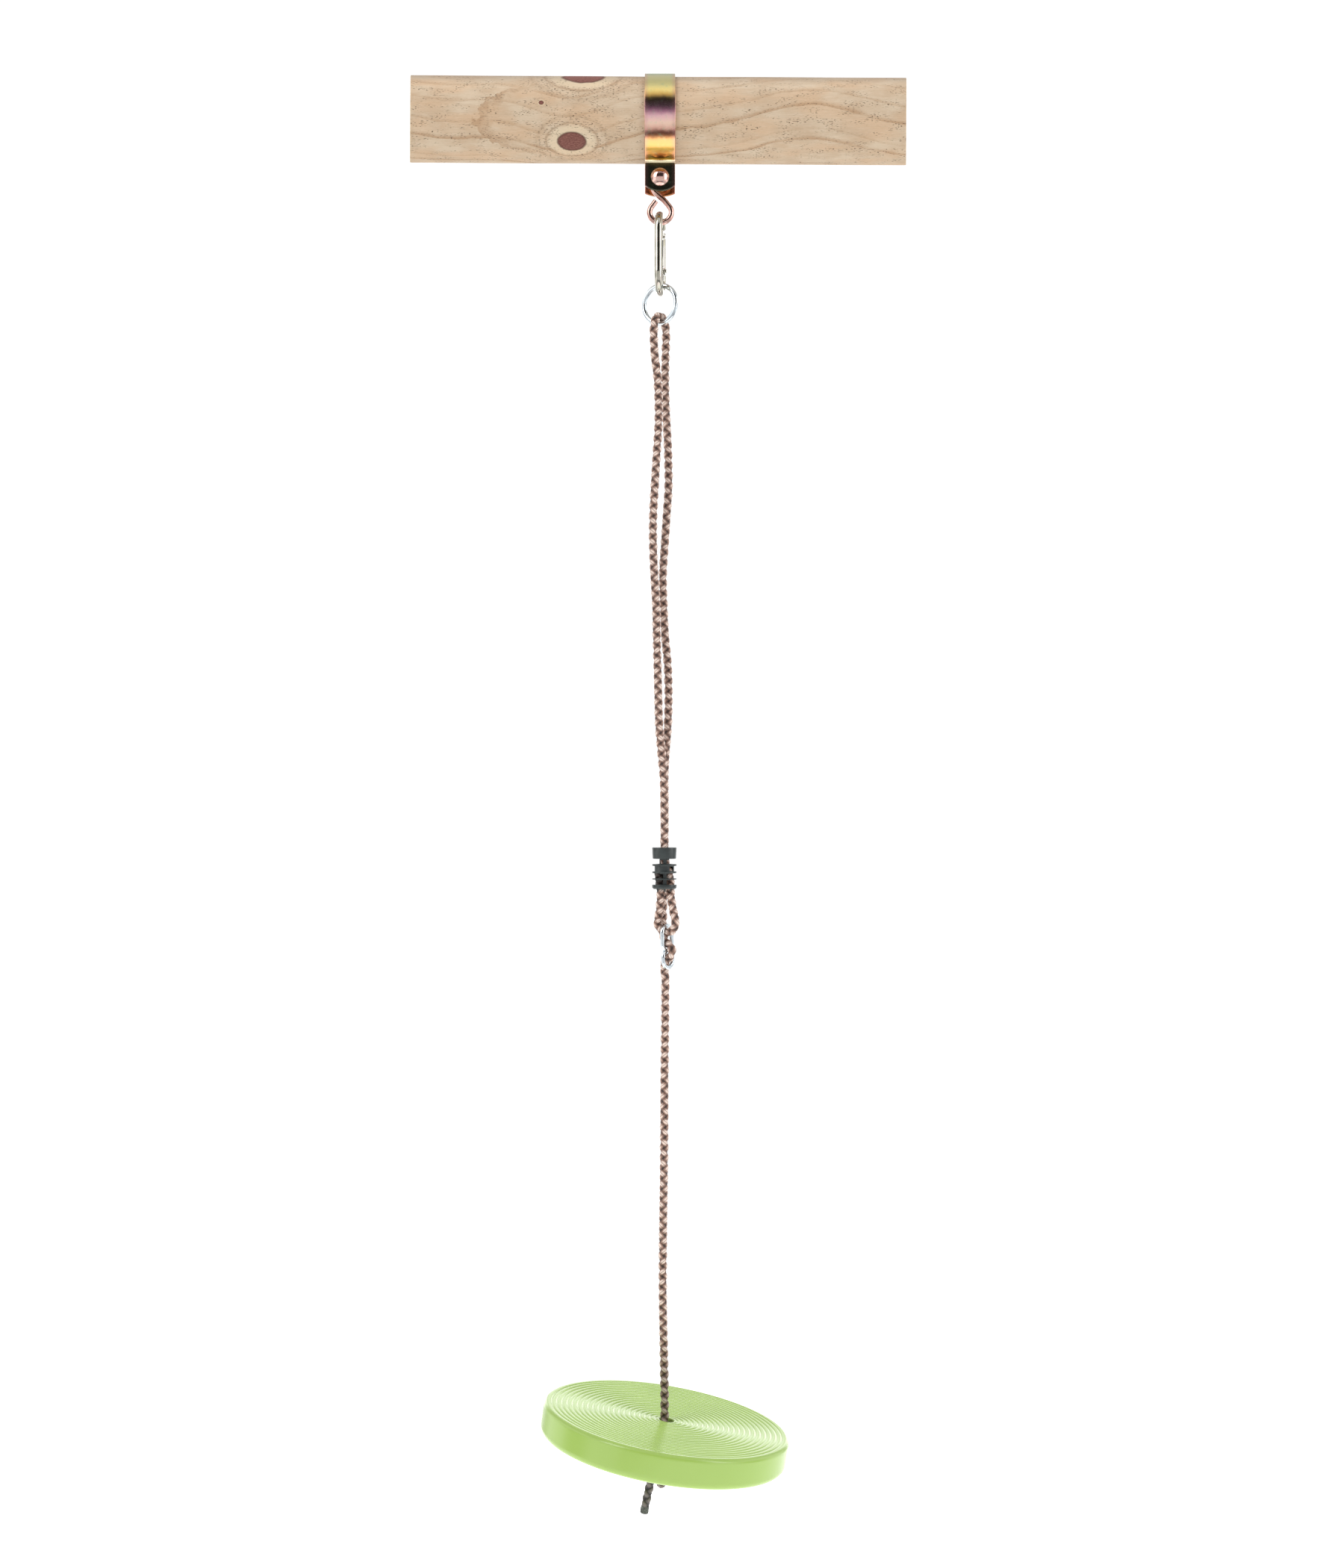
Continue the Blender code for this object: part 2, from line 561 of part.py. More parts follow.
def oval(top, height, half, count):
    """A wire loop with round ends and straight sides, in the plane of the eight."""
    straight = height - 2 * half
    out = []
    for side in (1, -1):
        for k in range(count + 1):
            a = pi * k / count
            out.append((side * half * sin(a), top + half * (1 - cos(a)) if side > 0 else top + height - half * (1 - cos(a))))
            if a >= pi / 2 - 1e-6 and straight > 0:
                s, down = out[-1]
                out[-1] = (s, down + (straight if side > 0 else -straight))
    return [on_eight(s, down) for s, down in out[: count + 1] + out[count + 2 : -1]]


upper = tube("eight_ring", oval(0, EIGHT_UPPER_H, eight_half, 16), EIGHT_WIRE, ZINC, closed=True, resolution=2, as_mesh=True)
lower = tube("eight_lower", oval(EIGHT_UPPER_H, EIGHT_LOWER_H, eight_half, 14), EIGHT_WIRE, ZINC, closed=True, resolution=2, as_mesh=True)
eight = boolean(upper, lower, "UNION")
smooth(eight, 60)

# ---------------------------------------------------------------- the rope: one length, drawn as one route
# It starts at its fixed end in the clamp, makes the eye that holds the eight, goes back through the clamp,
# up as strand A, over the top ring, down as strand B behind A and behind the clamp, through the eight,
# and down as the lower rope to the knot under the seat.
across = Vector((sin(RING_TURN), cos(RING_TURN), 0))  # square to the top ring's plane, to the back
ring_low = ring_z - RING_R
crest = ring_low + RING_WIRE / 2 + GAP + ROPE_D / 2
ARCH = [(-12.9, -16.0), (-11.4, -9.6), (-8.6, -4.4), (-4.7, -1.2), (0, 0), (4.7, -1.2), (8.6, -4.4), (11.4, -9.6), (12.9, -16.0)]
arch_path = [tuple(across * s + Vector((0, 0, crest + z))) for s, z in ARCH]

# Height below the origin, X of A, X of B, and how far each stands from the middle plane in Y.
STRANDS = [
    (-267.0, -6.3, 6.4, 10.6, 10.4),
    (-297.0, -2.9, 6.0, 10.0, 10.0),
    (-328.0, -1.6, 6.8, 9.6, 9.8),
    (-349.0, -1.7, 7.9, 9.2, 9.6),
    (-384.0, -3.8, 9.4, 8.6, 9.0),
    (-419.0, -6.0, 9.8, 8.0, 8.4),
    (-454.0, -7.8, 7.5, 7.6, 8.0),
    (-486.0, -7.8, 5.3, 7.4, 7.8),
    (-521.0, -6.5, 3.2, 7.2, 7.6),
    (-556.0, -4.5, 4.2, 6.8, 7.4),
    (-591.0, -3.8, 5.9, 6.4, 7.2),
    (-623.0, -2.8, 8.8, 6.2, 7.0),
    (-658.0, -2.0, 9.8, 6.0, 6.8),
    (-693.0, -1.0, 9.0, 5.8, 6.8),
    (-728.0, 2.0, 6.3, 5.4, 7.0),
    (-754.0, 4.4, 5.2, 5.2, 7.4),
    (-786.0, 5.1, 5.3, 5.0, 8.0),
    (-812.0, 5.2, 5.3, 4.7, 8.7),
]
clamp_low = CLAMP_TOP - 48.0
back_y = CLAMP_Y + CLAMP_W / 2 * CLAMP_DEPTH + GAP + ROPE_D / 2 + 0.3
under = EIGHT_WIRE / 2 + GAP + ROPE_D / 2  # rope centre from a wire's centre where they touch
eye_path = [
    (CLAMP_X - 6.8, CLAMP_Y, CLAMP_TOP - 24.5),
    (CLAMP_X - 6.3, CLAMP_Y, CLAMP_TOP - 34),
    (CLAMP_X - 4.8, CLAMP_Y, clamp_low + 2),
    (CLAMP_X - 4.2, CLAMP_Y + 0.3, clamp_low - 5.0),
    (CLAMP_X - 4.8, CLAMP_Y + 2.0, clamp_low - 16.0),
    (CLAMP_X - 6.0, CLAMP_Y + 4.2, clamp_low - 28.0),
    on_eight(-3.4, -6.0, -10.0),
    on_eight(-3.0, 0.2, -9.6),
    on_eight(-1.8, 5.4, -6.8),
    on_eight(-0.4, under + 0.3, 0.0),
    on_eight(-0.2, 5.2, 7.6),
    on_eight(0.0, 0.2, 11.8),
    on_eight(0.2, -8.0, 12.6),
    (CLAMP_X + 10.5, CLAMP_Y - 1.2, clamp_low - 26.0),
    (CLAMP_X + 8.2, CLAMP_Y - 0.6, clamp_low - 13.0),
    (CLAMP_X + 7.1, CLAMP_Y, clamp_low - 3.0),
    (CLAMP_X + 6.8, CLAMP_Y, clamp_low + 6),
    (CLAMP_X + 6.4, CLAMP_Y, CLAMP_TOP - 33.0),
    (CLAMP_X + 3.4, CLAMP_Y, CLAMP_TOP - 24.0),
    (CLAMP_X + 0.6, CLAMP_Y, CLAMP_TOP - 15.5),
    (CLAMP_X, CLAMP_Y, CLAMP_TOP - 8.0),
    (CLAMP_X, CLAMP_Y, CLAMP_TOP + 2.0),
]
pass_path = [
    (5.2, back_y, CLAMP_TOP + 2),
    (5.2, back_y, CLAMP_TOP - 16),
    (4.9, back_y, clamp_low + 12),
    (4.3, back_y + 0.3, clamp_low - 4.0),
    (3.6, back_y + 1.4, clamp_low - 18.0),
    (3.4, back_y + 2.8, clamp_low - 32.0),
    on_eight(8.4, 4.0, -11.4),
    on_eight(6.4, 11.4, -9.9),
    on_eight(2.0, 17.0, -5.4),
    on_eight(-0.6, 20.2, 0.0),
    on_eight(-1.8, 23.2, 5.6),
    on_eight(-2.2, EIGHT_UPPER_H, under + 0.9),
    on_eight(-1.6, EIGHT_UPPER_H + 5.2, 5.5),
    on_eight(-0.3, EIGHT_UPPER_H + 9.9, 0.0),
    on_eight(1.6, EIGHT_UPPER_H + 14.2, -5.4),
    on_eight(3.8, EIGHT_UPPER_H + 20.4, -8.6),
]
KNOT_TOP = -1520.9
LOWER = [
    (6.2, -984.0), (6.0, -998.0), (5.9, -1030.0), (5.4, -1076.0), (4.9, -1136.0), (4.6, -1200.0), (3.6, -1265.0), (3.2, -1325.0),
    (3.6, -1372.0), (4.4, -1410.0), (5.0, -1440.0), (ROPE_X, -1462.0), (ROPE_X, -1485.0), (ROPE_X, KNOT_TOP + GAP),
]
lower_path = []
for x, z in LOWER:
    fade = max(0.0, min(1.0, (z + 1060.0) / 76.0))
    lower_path.append((x, 6.4 * fade * fade * (3 - 2 * fade), z))

strand_a = [(xa, -ya, z) for z, xa, xb, ya, yb in reversed(STRANDS)]
strand_b = [(xb, yb, z) for z, xa, xb, ya, yb in STRANDS]
route = catmull(eye_path + strand_a + arch_path + strand_b + pass_path + lower_path, 1.0)


def run_at(height, after, before=10**9):
    """The run along the route where it crosses a height, between two runs."""
    for k in range(1, len(route)):
        run = k * route_step
        if after <= run <= before and (route[k - 1].z - height) * (route[k].z - height) <= 0:
            return run
    raise ValueError(f"the route doesn't cross {height}")


route_step = sum((b - a).length for a, b in zip(route, route[1:])) / (len(route) - 1)
ROPE_LENGTH = route_step * (len(route) - 1)
top_run = max(range(len(route)), key=lambda k: route[k].z) * route_step
cuts = {
    "into_a": run_at(CLAMP_TOP - 11.0, 120, top_run),
    "a_bight": run_at(crest - 17.0, 300, top_run),
    "bight_b": run_at(crest - 17.0, top_run),
    "b_eight": run_at(clamp_low - 6.0, top_run + 300),
    "eight_lower": run_at(-983.0, top_run + 600),
}


def piece(name, start, stop, step, mat=ROPE, diameter=ROPE_D, line=None, line_step=None):
    """The rope between two runs; a short segment at each end sets its end face square to the rope."""
    line, line_step = line or route, line_step or route_step

    def at(run):
        k = min(len(line) - 2, max(0, int(run / line_step)))
        return line[k].lerp(line[k + 1], run / line_step - k)

    inner = max(1, round((stop - start - 2.0) / step))
    runs = [start] + [start + 1.0 + (stop - start - 2.0) * k / inner for k in range(inner + 1)] + [stop]
    return tube(name, [at(run) for run in runs], diameter, mat, resolution=2)


half = 0.22
piece("rope_fixed_eye", 0.0, cuts["into_a"] - half, 5.0)
piece("rope_strand_a", cuts["into_a"] + half, cuts["a_bight"] - half, 14.0)
piece("rope_bight", cuts["a_bight"] + half, cuts["bight_b"] - half, 3.2)
piece("rope_strand_b", cuts["bight_b"] + half, cuts["b_eight"] - half, 14.0)
piece("rope_through_eight", cuts["b_eight"] + half, cuts["eight_lower"] - half, 4.0)
piece("lower_rope", cuts["eight_lower"] + half, ROPE_LENGTH, 15.0)

# ---------------------------------------------------------------- seat: one hollow blow-moulded disc
R, T = SEAT_D / 2, SEAT_T / 2
hole = SEAT_HOLE_D / 2
DISH = 2.2  # the top face falls this far to the hole
top_edge, low_edge = SEAT_EDGE, 8.0
outer = [(hole, T - DISH), (hole + 8, T - DISH * 0.8), (R * 0.5, T - DISH * 0.4), (R - 14, T)]
for k in range(6):
    a = pi / 2 * k / 5
    outer.append((R - top_edge + top_edge * sin(a), T - top_edge + top_edge * cos(a)))
for k in range(6):
    a = pi / 2 * k / 5
    outer.append((R - low_edge + low_edge * cos(a), -T + low_edge - low_edge * sin(a)))
outer += [(hole, -T), (hole, T - DISH)]
wall = SEAT_WALL
inner_hole = hole + wall
inner = [(inner_hole, T - DISH - wall - 0.6), (R * 0.5, T - DISH * 0.4 - wall - 0.6), (R - wall - 4, T - wall - 0.6), (R - wall, T - wall - 4.6)]
inner += [(R - wall, -T + 9), (R - wall - 5, -T + wall), (inner_hole, -T + wall), (inner_hole, T - DISH - wall - 0.6)]
in_seat = Matrix.Translation(scaled(SEAT_C)) @ Matrix.Rotation(SEAT_TILT, 4, "Y")
seat = turned("disc_seat", outer, LIME, 72, None)
boolean(seat, turned("seat_hollow", inner, None, 72, None, cutters))
boolean(seat, cylinder("blow_hole", 3.5, -T - 5, -T + 8, "Z", (58, 0, 0), collection=cutters, sides=16))
seat.data.transform(in_seat)
smooth(seat, 40)

# ---------------------------------------------------------------- knot, tail and sealed end under the seat
bm = bmesh.new()
bmesh.ops.create_uvsphere(bm, u_segments=20, v_segments=12, radius=1.0)
bmesh.ops.scale(bm, vec=(14.0 * MM, 13.0 * MM, 22.9 * MM), verts=bm.verts)
bmesh.ops.transform(bm, matrix=Matrix.Translation(scaled(KNOT_C)) @ Matrix.Rotation(radians(6.0), 4, "Y"), verts=bm.verts)
knot = mesh_object("seat_knot", bm, ROPE)
smooth(knot, 60)

tail = catmull([(-8.6, 0, -1567.0), (-12.4, 0, -1573.4), (-15.4, 0, -1580.0), TAIL_END, TAIL_TIP], 0.5)
tail_step = sum((b - a).length for a, b in zip(tail, tail[1:])) / (len(tail) - 1)
tail_run = tail_step * (len(tail) - 1)
piece("rope_tail", 0.0, tail_run - 9.0 - half, 6.0, line=tail, line_step=tail_step)
piece("tail_seal", tail_run - 9.0 + half, tail_run, 4.0, TIP, ROPE_D - 0.6, tail, tail_step)

# ---------------------------------------------------------------- joints: an empty on each axis holds the pieces that move on it
def axis_empty(name, at, parent, members):
    """An empty on a joint's axis, in mm; the pieces keep their place in the world."""
    empty = bpy.data.objects.new(name, None)
    empty.empty_display_size = 0.02
    parts.objects.link(empty)
    home = Vector((0, 0, 0))
    if parent:
        empty.parent = parent
        home = Vector(parent["pivot"])
    empty["pivot"] = list(at)
    empty.location = (Vector(at) - home) * MM
    for member in members:
        obj = bpy.data.objects[member]
        obj.parent = empty
        obj.location = -Vector(at) * MM
    return empty


hook_axis = axis_empty("hook_swivel_axis", (0, 0, BOLT_Z), None, ["swing_hook"])
snap_axis = axis_empty("snap_swing_axis", (LOOP_C[0], 0, LOOP_C[1] - LOOP_RZ), hook_axis, ["snap_hook_body", "gate_rivet"])
gate_at = snap_turn @ scaled((0, SNAP_HALF, GATE_PIVOT_Z)) / MM
axis_empty("gate_axis", gate_at, snap_axis, ["snap_gate", "gate_plunger", "gate_spring"])
ring_axis = axis_empty("ring_swing_axis", (0.3, 0, SNAP_BOTTOM), snap_axis, ["top_ring"])
rope_axis = axis_empty("rope_swing_axis", (0, 0, ring_low), ring_axis, ["rope_bight"])
clamp_axis = axis_empty(
    "adjuster_axis", (CLAMP_X, CLAMP_Y, CLAMP_TOP), rope_axis, ["rope_clamp", "rope_fixed_eye", "rope_strand_a", "rope_strand_b", "rope_through_eight"]
)
axis_empty("eight_axis", EIGHT_TOP, clamp_axis, ["eight_ring"])
lower_axis = axis_empty("lower_rope_axis", (ROPE_X, 0, -983.0), clamp_axis, ["lower_rope"])
knot_axis = axis_empty("seat_spin_axis", (ROPE_X, 0, KNOT_TOP), lower_axis, ["seat_knot", "rope_tail", "tail_seal"])
axis_empty("seat_tilt_axis", (ROPE_X, 0, SEAT_C[2] - 1.5), knot_axis, ["disc_seat"])
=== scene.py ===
"""Looks of the disc swing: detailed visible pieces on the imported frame. Lengths in mm unless said; the scene is in metres."""

from math import acos, asin, atan2, cos, degrees, exp, floor, pi, radians, sin, sqrt

import bmesh
import bpy
import numpy as np
from mathutils import Matrix, Vector


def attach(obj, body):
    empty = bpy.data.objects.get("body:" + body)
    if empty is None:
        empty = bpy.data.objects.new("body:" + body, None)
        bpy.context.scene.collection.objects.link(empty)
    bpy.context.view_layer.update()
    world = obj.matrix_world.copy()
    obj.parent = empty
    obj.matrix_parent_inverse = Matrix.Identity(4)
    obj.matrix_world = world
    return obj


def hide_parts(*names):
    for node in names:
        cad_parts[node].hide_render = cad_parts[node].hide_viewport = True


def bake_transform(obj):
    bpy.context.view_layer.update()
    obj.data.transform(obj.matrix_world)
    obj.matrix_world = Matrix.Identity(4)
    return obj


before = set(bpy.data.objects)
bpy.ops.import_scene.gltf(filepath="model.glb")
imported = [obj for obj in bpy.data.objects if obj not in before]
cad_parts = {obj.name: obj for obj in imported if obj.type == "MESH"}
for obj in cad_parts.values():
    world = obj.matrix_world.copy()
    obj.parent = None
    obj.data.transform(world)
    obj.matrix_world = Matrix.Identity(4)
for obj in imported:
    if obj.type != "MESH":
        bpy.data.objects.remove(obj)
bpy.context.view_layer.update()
MM = 0.001
scene = bpy.context.scene

# ================================================================ camera and light
camera = bpy.data.objects.new("camera", bpy.data.cameras.new("camera"))
scene.collection.objects.link(camera)
camera.location = (-0.0017, -2.55, -0.7597)
camera.rotation_euler = (pi / 2, 0, 0)
camera.data.sensor_fit = "HORIZONTAL"
camera.data.sensor_width = 36.0
camera.data.lens = 36.0 * 2982.5 / 1764
camera.data.clip_start = 0.05
camera.data.clip_end = 60
scene.camera = camera
scene.view_settings.view_transform = "Standard"


# ================================================================ node helpers
class S:
    """A shader value that can be added, multiplied and so on; each step becomes a Math node."""

    def __init__(self, graph, socket):
        self.g, self.s = graph, socket

    def _two(self, other, op, swap=False):
        node = self.g.nodes.new("ShaderNodeMath")
        node.operation = op
        a, b = (other, self) if swap else (self, other)
        for k, v in ((0, a), (1, b)):
            if isinstance(v, S):
                self.g.links.new(v.s, node.inputs[k])
            else:
                node.inputs[k].default_value = float(v)
        return S(self.g, node.outputs[0])

    def __add__(self, o): return self._two(o, "ADD")
    def __radd__(self, o): return self._two(o, "ADD")
    def __sub__(self, o): return self._two(o, "SUBTRACT")
    def __rsub__(self, o): return self._two(o, "SUBTRACT", True)
    def __mul__(self, o): return self._two(o, "MULTIPLY")
    def __rmul__(self, o): return self._two(o, "MULTIPLY")
    def __truediv__(self, o): return self._two(o, "DIVIDE")
    def __rtruediv__(self, o): return self._two(o, "DIVIDE", True)
    def __pow__(self, o): return self._two(o, "POWER")
    def __neg__(self): return self._two(-1.0, "MULTIPLY")
    def least(self, o): return self._two(o, "MINIMUM")
    def most(self, o): return self._two(o, "MAXIMUM")
    def atan2(self, o): return self._two(o, "ARCTAN2")

    def one(self, op):
        node = self.g.nodes.new("ShaderNodeMath")
        node.operation = op
        self.g.links.new(self.s, node.inputs[0])
        return S(self.g, node.outputs[0])

    def sin(self): return self.one("SINE")
    def cos(self): return self.one("COSINE")
    def abs(self): return self.one("ABSOLUTE")
    def sqrt(self): return self.one("SQRT")
    def frac(self): return self.one("FRACT")
    def exp(self): return self.one("EXPONENT")

    def step(self, a, b, lo=0.0, hi=1.0):
        """Smoothly from lo at a to hi at b."""
        node = self.g.nodes.new("ShaderNodeMapRange")
        node.interpolation_type = "SMOOTHSTEP"
        self.g.links.new(self.s, node.inputs["Value"])
        if b < a:
            a, b, lo, hi = b, a, hi, lo
        for key, v in (("From Min", a), ("From Max", b), ("To Min", lo), ("To Max", hi)):
            node.inputs[key].default_value = v
        return S(self.g, node.outputs["Result"])


def hexed(text):
    """Linear colour from an sRGB hex code."""
    out = []
    for k in (0, 2, 4):
        c = int(text[k : k + 2], 16) / 255
        out.append(c / 12.92 if c <= 0.04045 else ((c + 0.055) / 1.055) ** 2.4)
    return tuple(out)


class Mat:
    """A Principled material under construction."""

    def __init__(self, name):
        self.m = bpy.data.materials.new(name)
        self.m.use_nodes = True
        self.g = self.m.node_tree
        self.p = self.g.nodes["Principled BSDF"]

    def coords(self):
        """Object coordinates in mm as three values, and the vector itself in metres."""
        tc = self.g.nodes.new("ShaderNodeTexCoord")
        sep = self.g.nodes.new("ShaderNodeSeparateXYZ")
        self.g.links.new(tc.outputs["Object"], sep.inputs[0])
        return [S(self.g, sep.outputs[k]) * 1000.0 for k in range(3)]

    def attribute(self, name):
        node = self.g.nodes.new("ShaderNodeAttribute")
        node.attribute_name = name
        return node

    def attr_vec(self, name):
        node = self.attribute(name)
        sep = self.g.nodes.new("ShaderNodeSeparateXYZ")
        self.g.links.new(node.outputs["Vector"], sep.inputs[0])
        return [S(self.g, sep.outputs[k]) for k in range(3)]

    def vec(self, x, y, z):
        node = self.g.nodes.new("ShaderNodeCombineXYZ")
        for k, v in enumerate((x, y, z)):
            if isinstance(v, S):
                self.g.links.new(v.s, node.inputs[k])
            else:
                node.inputs[k].default_value = float(v)
        return node.outputs[0]

    def noise(self, vector, scale=1.0, detail=2.0, rough=0.5, distortion=0.0, colour=False):
        node = self.g.nodes.new("ShaderNodeTexNoise")
        self.g.links.new(vector, node.inputs["Vector"])
        for key, v in (("Scale", scale), ("Detail", detail), ("Roughness", rough), ("Distortion", distortion)):
            node.inputs[key].default_value = v
        return node.outputs["Color"] if colour else S(self.g, node.outputs[0])

    def cells(self, vector, scale=1.0):
        node = self.g.nodes.new("ShaderNodeTexVoronoi")
        self.g.links.new(vector, node.inputs["Vector"])
        node.inputs["Scale"].default_value = scale
        return S(self.g, node.outputs["Distance"])

    def mix(self, factor, a, b):
        """Colour a where the factor is 0, b where it is 1; each a tuple or a socket."""
        node = self.g.nodes.new("ShaderNodeMix")
        node.data_type = "RGBA"
        if isinstance(factor, S):
            self.g.links.new(factor.s, node.inputs[0])
        else:
            node.inputs[0].default_value = factor
        for k, v in ((6, a), (7, b)):
            if isinstance(v, tuple):
                node.inputs[k].default_value = (*v, 1.0)
            else:
                self.g.links.new(v, node.inputs[k])
        return node.outputs[2]

    def ramp(self, value, stops):
        node = self.g.nodes.new("ShaderNodeValToRGB")
        self.g.links.new(value.s, node.inputs[0])
        elements = node.color_ramp.elements
        while len(elements) > 1:
            elements.remove(elements[-1])
        elements[0].position, elements[0].color = stops[0][0], (*stops[0][1], 1)
        for at, colour in stops[1:]:
            made = elements.new(at)
            made.color = (*colour, 1)
        return node.outputs[0]

    def bump(self, height, distance, strength=1.0, under=None):
        """Bump from a height of 0 to 1 that stands for that many mm."""
        node = self.g.nodes.new("ShaderNodeBump")
        node.inputs["Strength"].default_value = strength
        node.inputs["Distance"].default_value = distance * MM
        self.g.links.new(height.s, node.inputs["Height"])
        if under is not None:
            self.g.links.new(under, node.inputs["Normal"])
        return node.outputs[0]

    def set(self, **sockets):
        for key, v in sockets.items():
            name = {"colour": "Base Color", "rough": "Roughness", "metal": "Metallic", "normal": "Normal", "coat": "Coat Weight",
                    "coat_rough": "Coat Roughness", "specular": "Specular IOR Level", "sheen": "Sheen Weight", "sub": "Subsurface Weight"}[key]
            target = self.p.inputs[name]
            if isinstance(v, S):
                self.g.links.new(v.s, target)
            elif isinstance(v, tuple):
                target.default_value = (*v, 1.0)
            elif isinstance(v, (int, float)):
                target.default_value = v
            else:
                self.g.links.new(v, target)
        return self.m


# ================================================================ studio
world = bpy.data.worlds.new("studio")
scene.world = world
world.use_nodes = True
g = world.node_tree
for node in list(g.nodes):
    g.nodes.remove(node)
tc = g.nodes.new("ShaderNodeTexCoord")
sep = g.nodes.new("ShaderNodeSeparateXYZ")
g.links.new(tc.outputs["Generated"], sep.inputs[0])
dx, dy, dz = (S(g, sep.outputs[k]) for k in range(3))
rise = dz.atan2(-dy)  # 0 level in front, 90 degrees overhead, 180 level behind
turn = dx.atan2(dy)  # 0 straight behind
mid = 1.0 - dx.abs().step(0.42, 0.66)  # not far to the sides
dark = rise.step(radians(2), radians(9)) * rise.step(radians(49), radians(41)) * mid  # the room behind the camera
low_band = rise.step(radians(-62), radians(-56)) * rise.step(radians(-38), radians(-46)) * mid
lower = rise.step(radians(-44), radians(-36)) * rise.step(radians(6), radians(0)) * mid
overhead = rise.step(radians(96), radians(104)) * rise.step(radians(136), radians(126)) * mid
gold = rise.step(radians(51), radians(59)) * rise.step(radians(82), radians(72)) * mid
side = dx.abs().step(0.58, 0.76) * dx.abs().step(0.985, 0.93) * dz.step(-0.60, -0.35) * dz.step(0.72, 0.50)
edges = dx.abs().step(0.965, 0.995)
behind = dy.step(0.80, 0.95)
slot = behind * turn.abs().step(radians(10), radians(5)) * dz.step(-0.3, -0.1)
strips = behind * turn.abs().step(radians(9), radians(13)) * turn.abs().step(radians(40), radians(30)) * dz.step(-0.22, -0.12) * dz.step(0.45, 0.30)
level = 0.84 + overhead * 0.10 + gold * 0.28 + side * 1.05 + strips * 2.15 - dark * 0.78 - low_band * 0.50 + lower * 0.16 - edges * 0.45 + slot * 0.90 + behind * 0.55
level = level.most(0.03)
background = g.nodes.new("ShaderNodeBackground")
g.links.new(level.s, background.inputs["Strength"])
plain = g.nodes.new("ShaderNodeBackground")
plain.inputs["Color"].default_value = (1, 1, 1, 1)
plain.inputs["Strength"].default_value = 1.05
light_path = g.nodes.new("ShaderNodeLightPath")
mixed = g.nodes.new("ShaderNodeMixShader")
g.links.new(light_path.outputs["Is Camera Ray"], mixed.inputs[0])
g.links.new(background.outputs[0], mixed.inputs[1])
g.links.new(plain.outputs[0], mixed.inputs[2])
out = g.nodes.new("ShaderNodeOutputWorld")
g.links.new(mixed.outputs[0], out.inputs["Surface"])


def softbox(name, at, to, size, power):
    light = bpy.data.lights.new(name, "AREA")
    light.shape = "RECTANGLE"
    light.size, light.size_y = size
    light.energy = power
    obj = bpy.data.objects.new(name, light)
    scene.collection.objects.link(obj)
    obj.location = at
    obj.rotation_euler = (Vector(to) - Vector(at)).to_track_quat("-Z", "Y").to_euler()
    return obj


softbox("key_softbox", (-1.9, -1.7, 1.3), (0, 0, -0.8), (1.2, 2.4), 34)
softbox("fill_softbox", (2.2, -1.3, 0.2), (0, 0, -0.8), (0.8, 2.2), 16)
softbox("top_softbox", (0.2, 0.4, 1.9), (0, 0, -0.4), (2.4, 1.6), 12).visible_glossy = False

FLOOR_Z = -1.80
bm = bmesh.new()
bmesh.ops.create_circle(bm, cap_ends=True, segments=96, radius=1.3)
bmesh.ops.translate(bm, verts=bm.verts, vec=(0, 0, FLOOR_Z))
floor_mesh = bpy.data.meshes.new("studio_floor")
bm.to_mesh(floor_mesh)
bm.free()
floor_obj = bpy.data.objects.new("studio_floor", floor_mesh)
scene.collection.objects.link(floor_obj)
mat = Mat("studio_floor")
fx, fy, fz = mat.coords()
tone = mat.noise(mat.vec(fx / 400, fy / 400, 0.0), 1.0, 2.0)
mat.set(colour=mat.mix(tone, (0.90, 0.90, 0.90), (0.93, 0.93, 0.93)), rough=0.8, specular=0.0)
mat.p.inputs["Emission Color"].default_value = (1.0, 1.0, 1.0, 1.0)  # lit from below, so it shows as plain white
mat.p.inputs["Emission Strength"].default_value = 0.75
floor_mesh.materials.append(mat.m)


# ================================================================ mesh helpers
def V(p):
    return np.array(p, float)


def mesh_from(name, verts, faces, mat, attributes=None, smooth=True, sharp=None):
    """verts in mm."""
    mesh = bpy.data.meshes.new(name)
    mesh.from_pydata((np.asarray(verts) * MM).tolist(), [], faces)
    mesh.update()
    if smooth:
        mesh.shade_smooth()
    for key, values in (attributes or {}).items():
        values = np.asarray(values, np.float32)
        kind = "FLOAT_VECTOR" if values.ndim == 2 else "FLOAT"
        layer = mesh.attributes.new(key, kind, "POINT")
        layer.data.foreach_set("vector" if values.ndim == 2 else "value", values.ravel())
    if sharp:
        mesh.set_sharp_from_angle(angle=radians(sharp))
    obj = bpy.data.objects.new(name, mesh)
    scene.collection.objects.link(obj)
    if mat:
        mesh.materials.append(mat)
    return obj


def bm_object(name, bm, mat=None, sharp=35.0):
    bmesh.ops.recalc_face_normals(bm, faces=bm.faces)
    mesh = bpy.data.meshes.new(name)
    bm.to_mesh(mesh)
    bm.free()
    mesh.shade_smooth()
    if sharp:
        mesh.set_sharp_from_angle(angle=radians(sharp))
    obj = bpy.data.objects.new(name, mesh)
    scene.collection.objects.link(obj)
    if mat:
        mesh.materials.append(mat)
    return obj


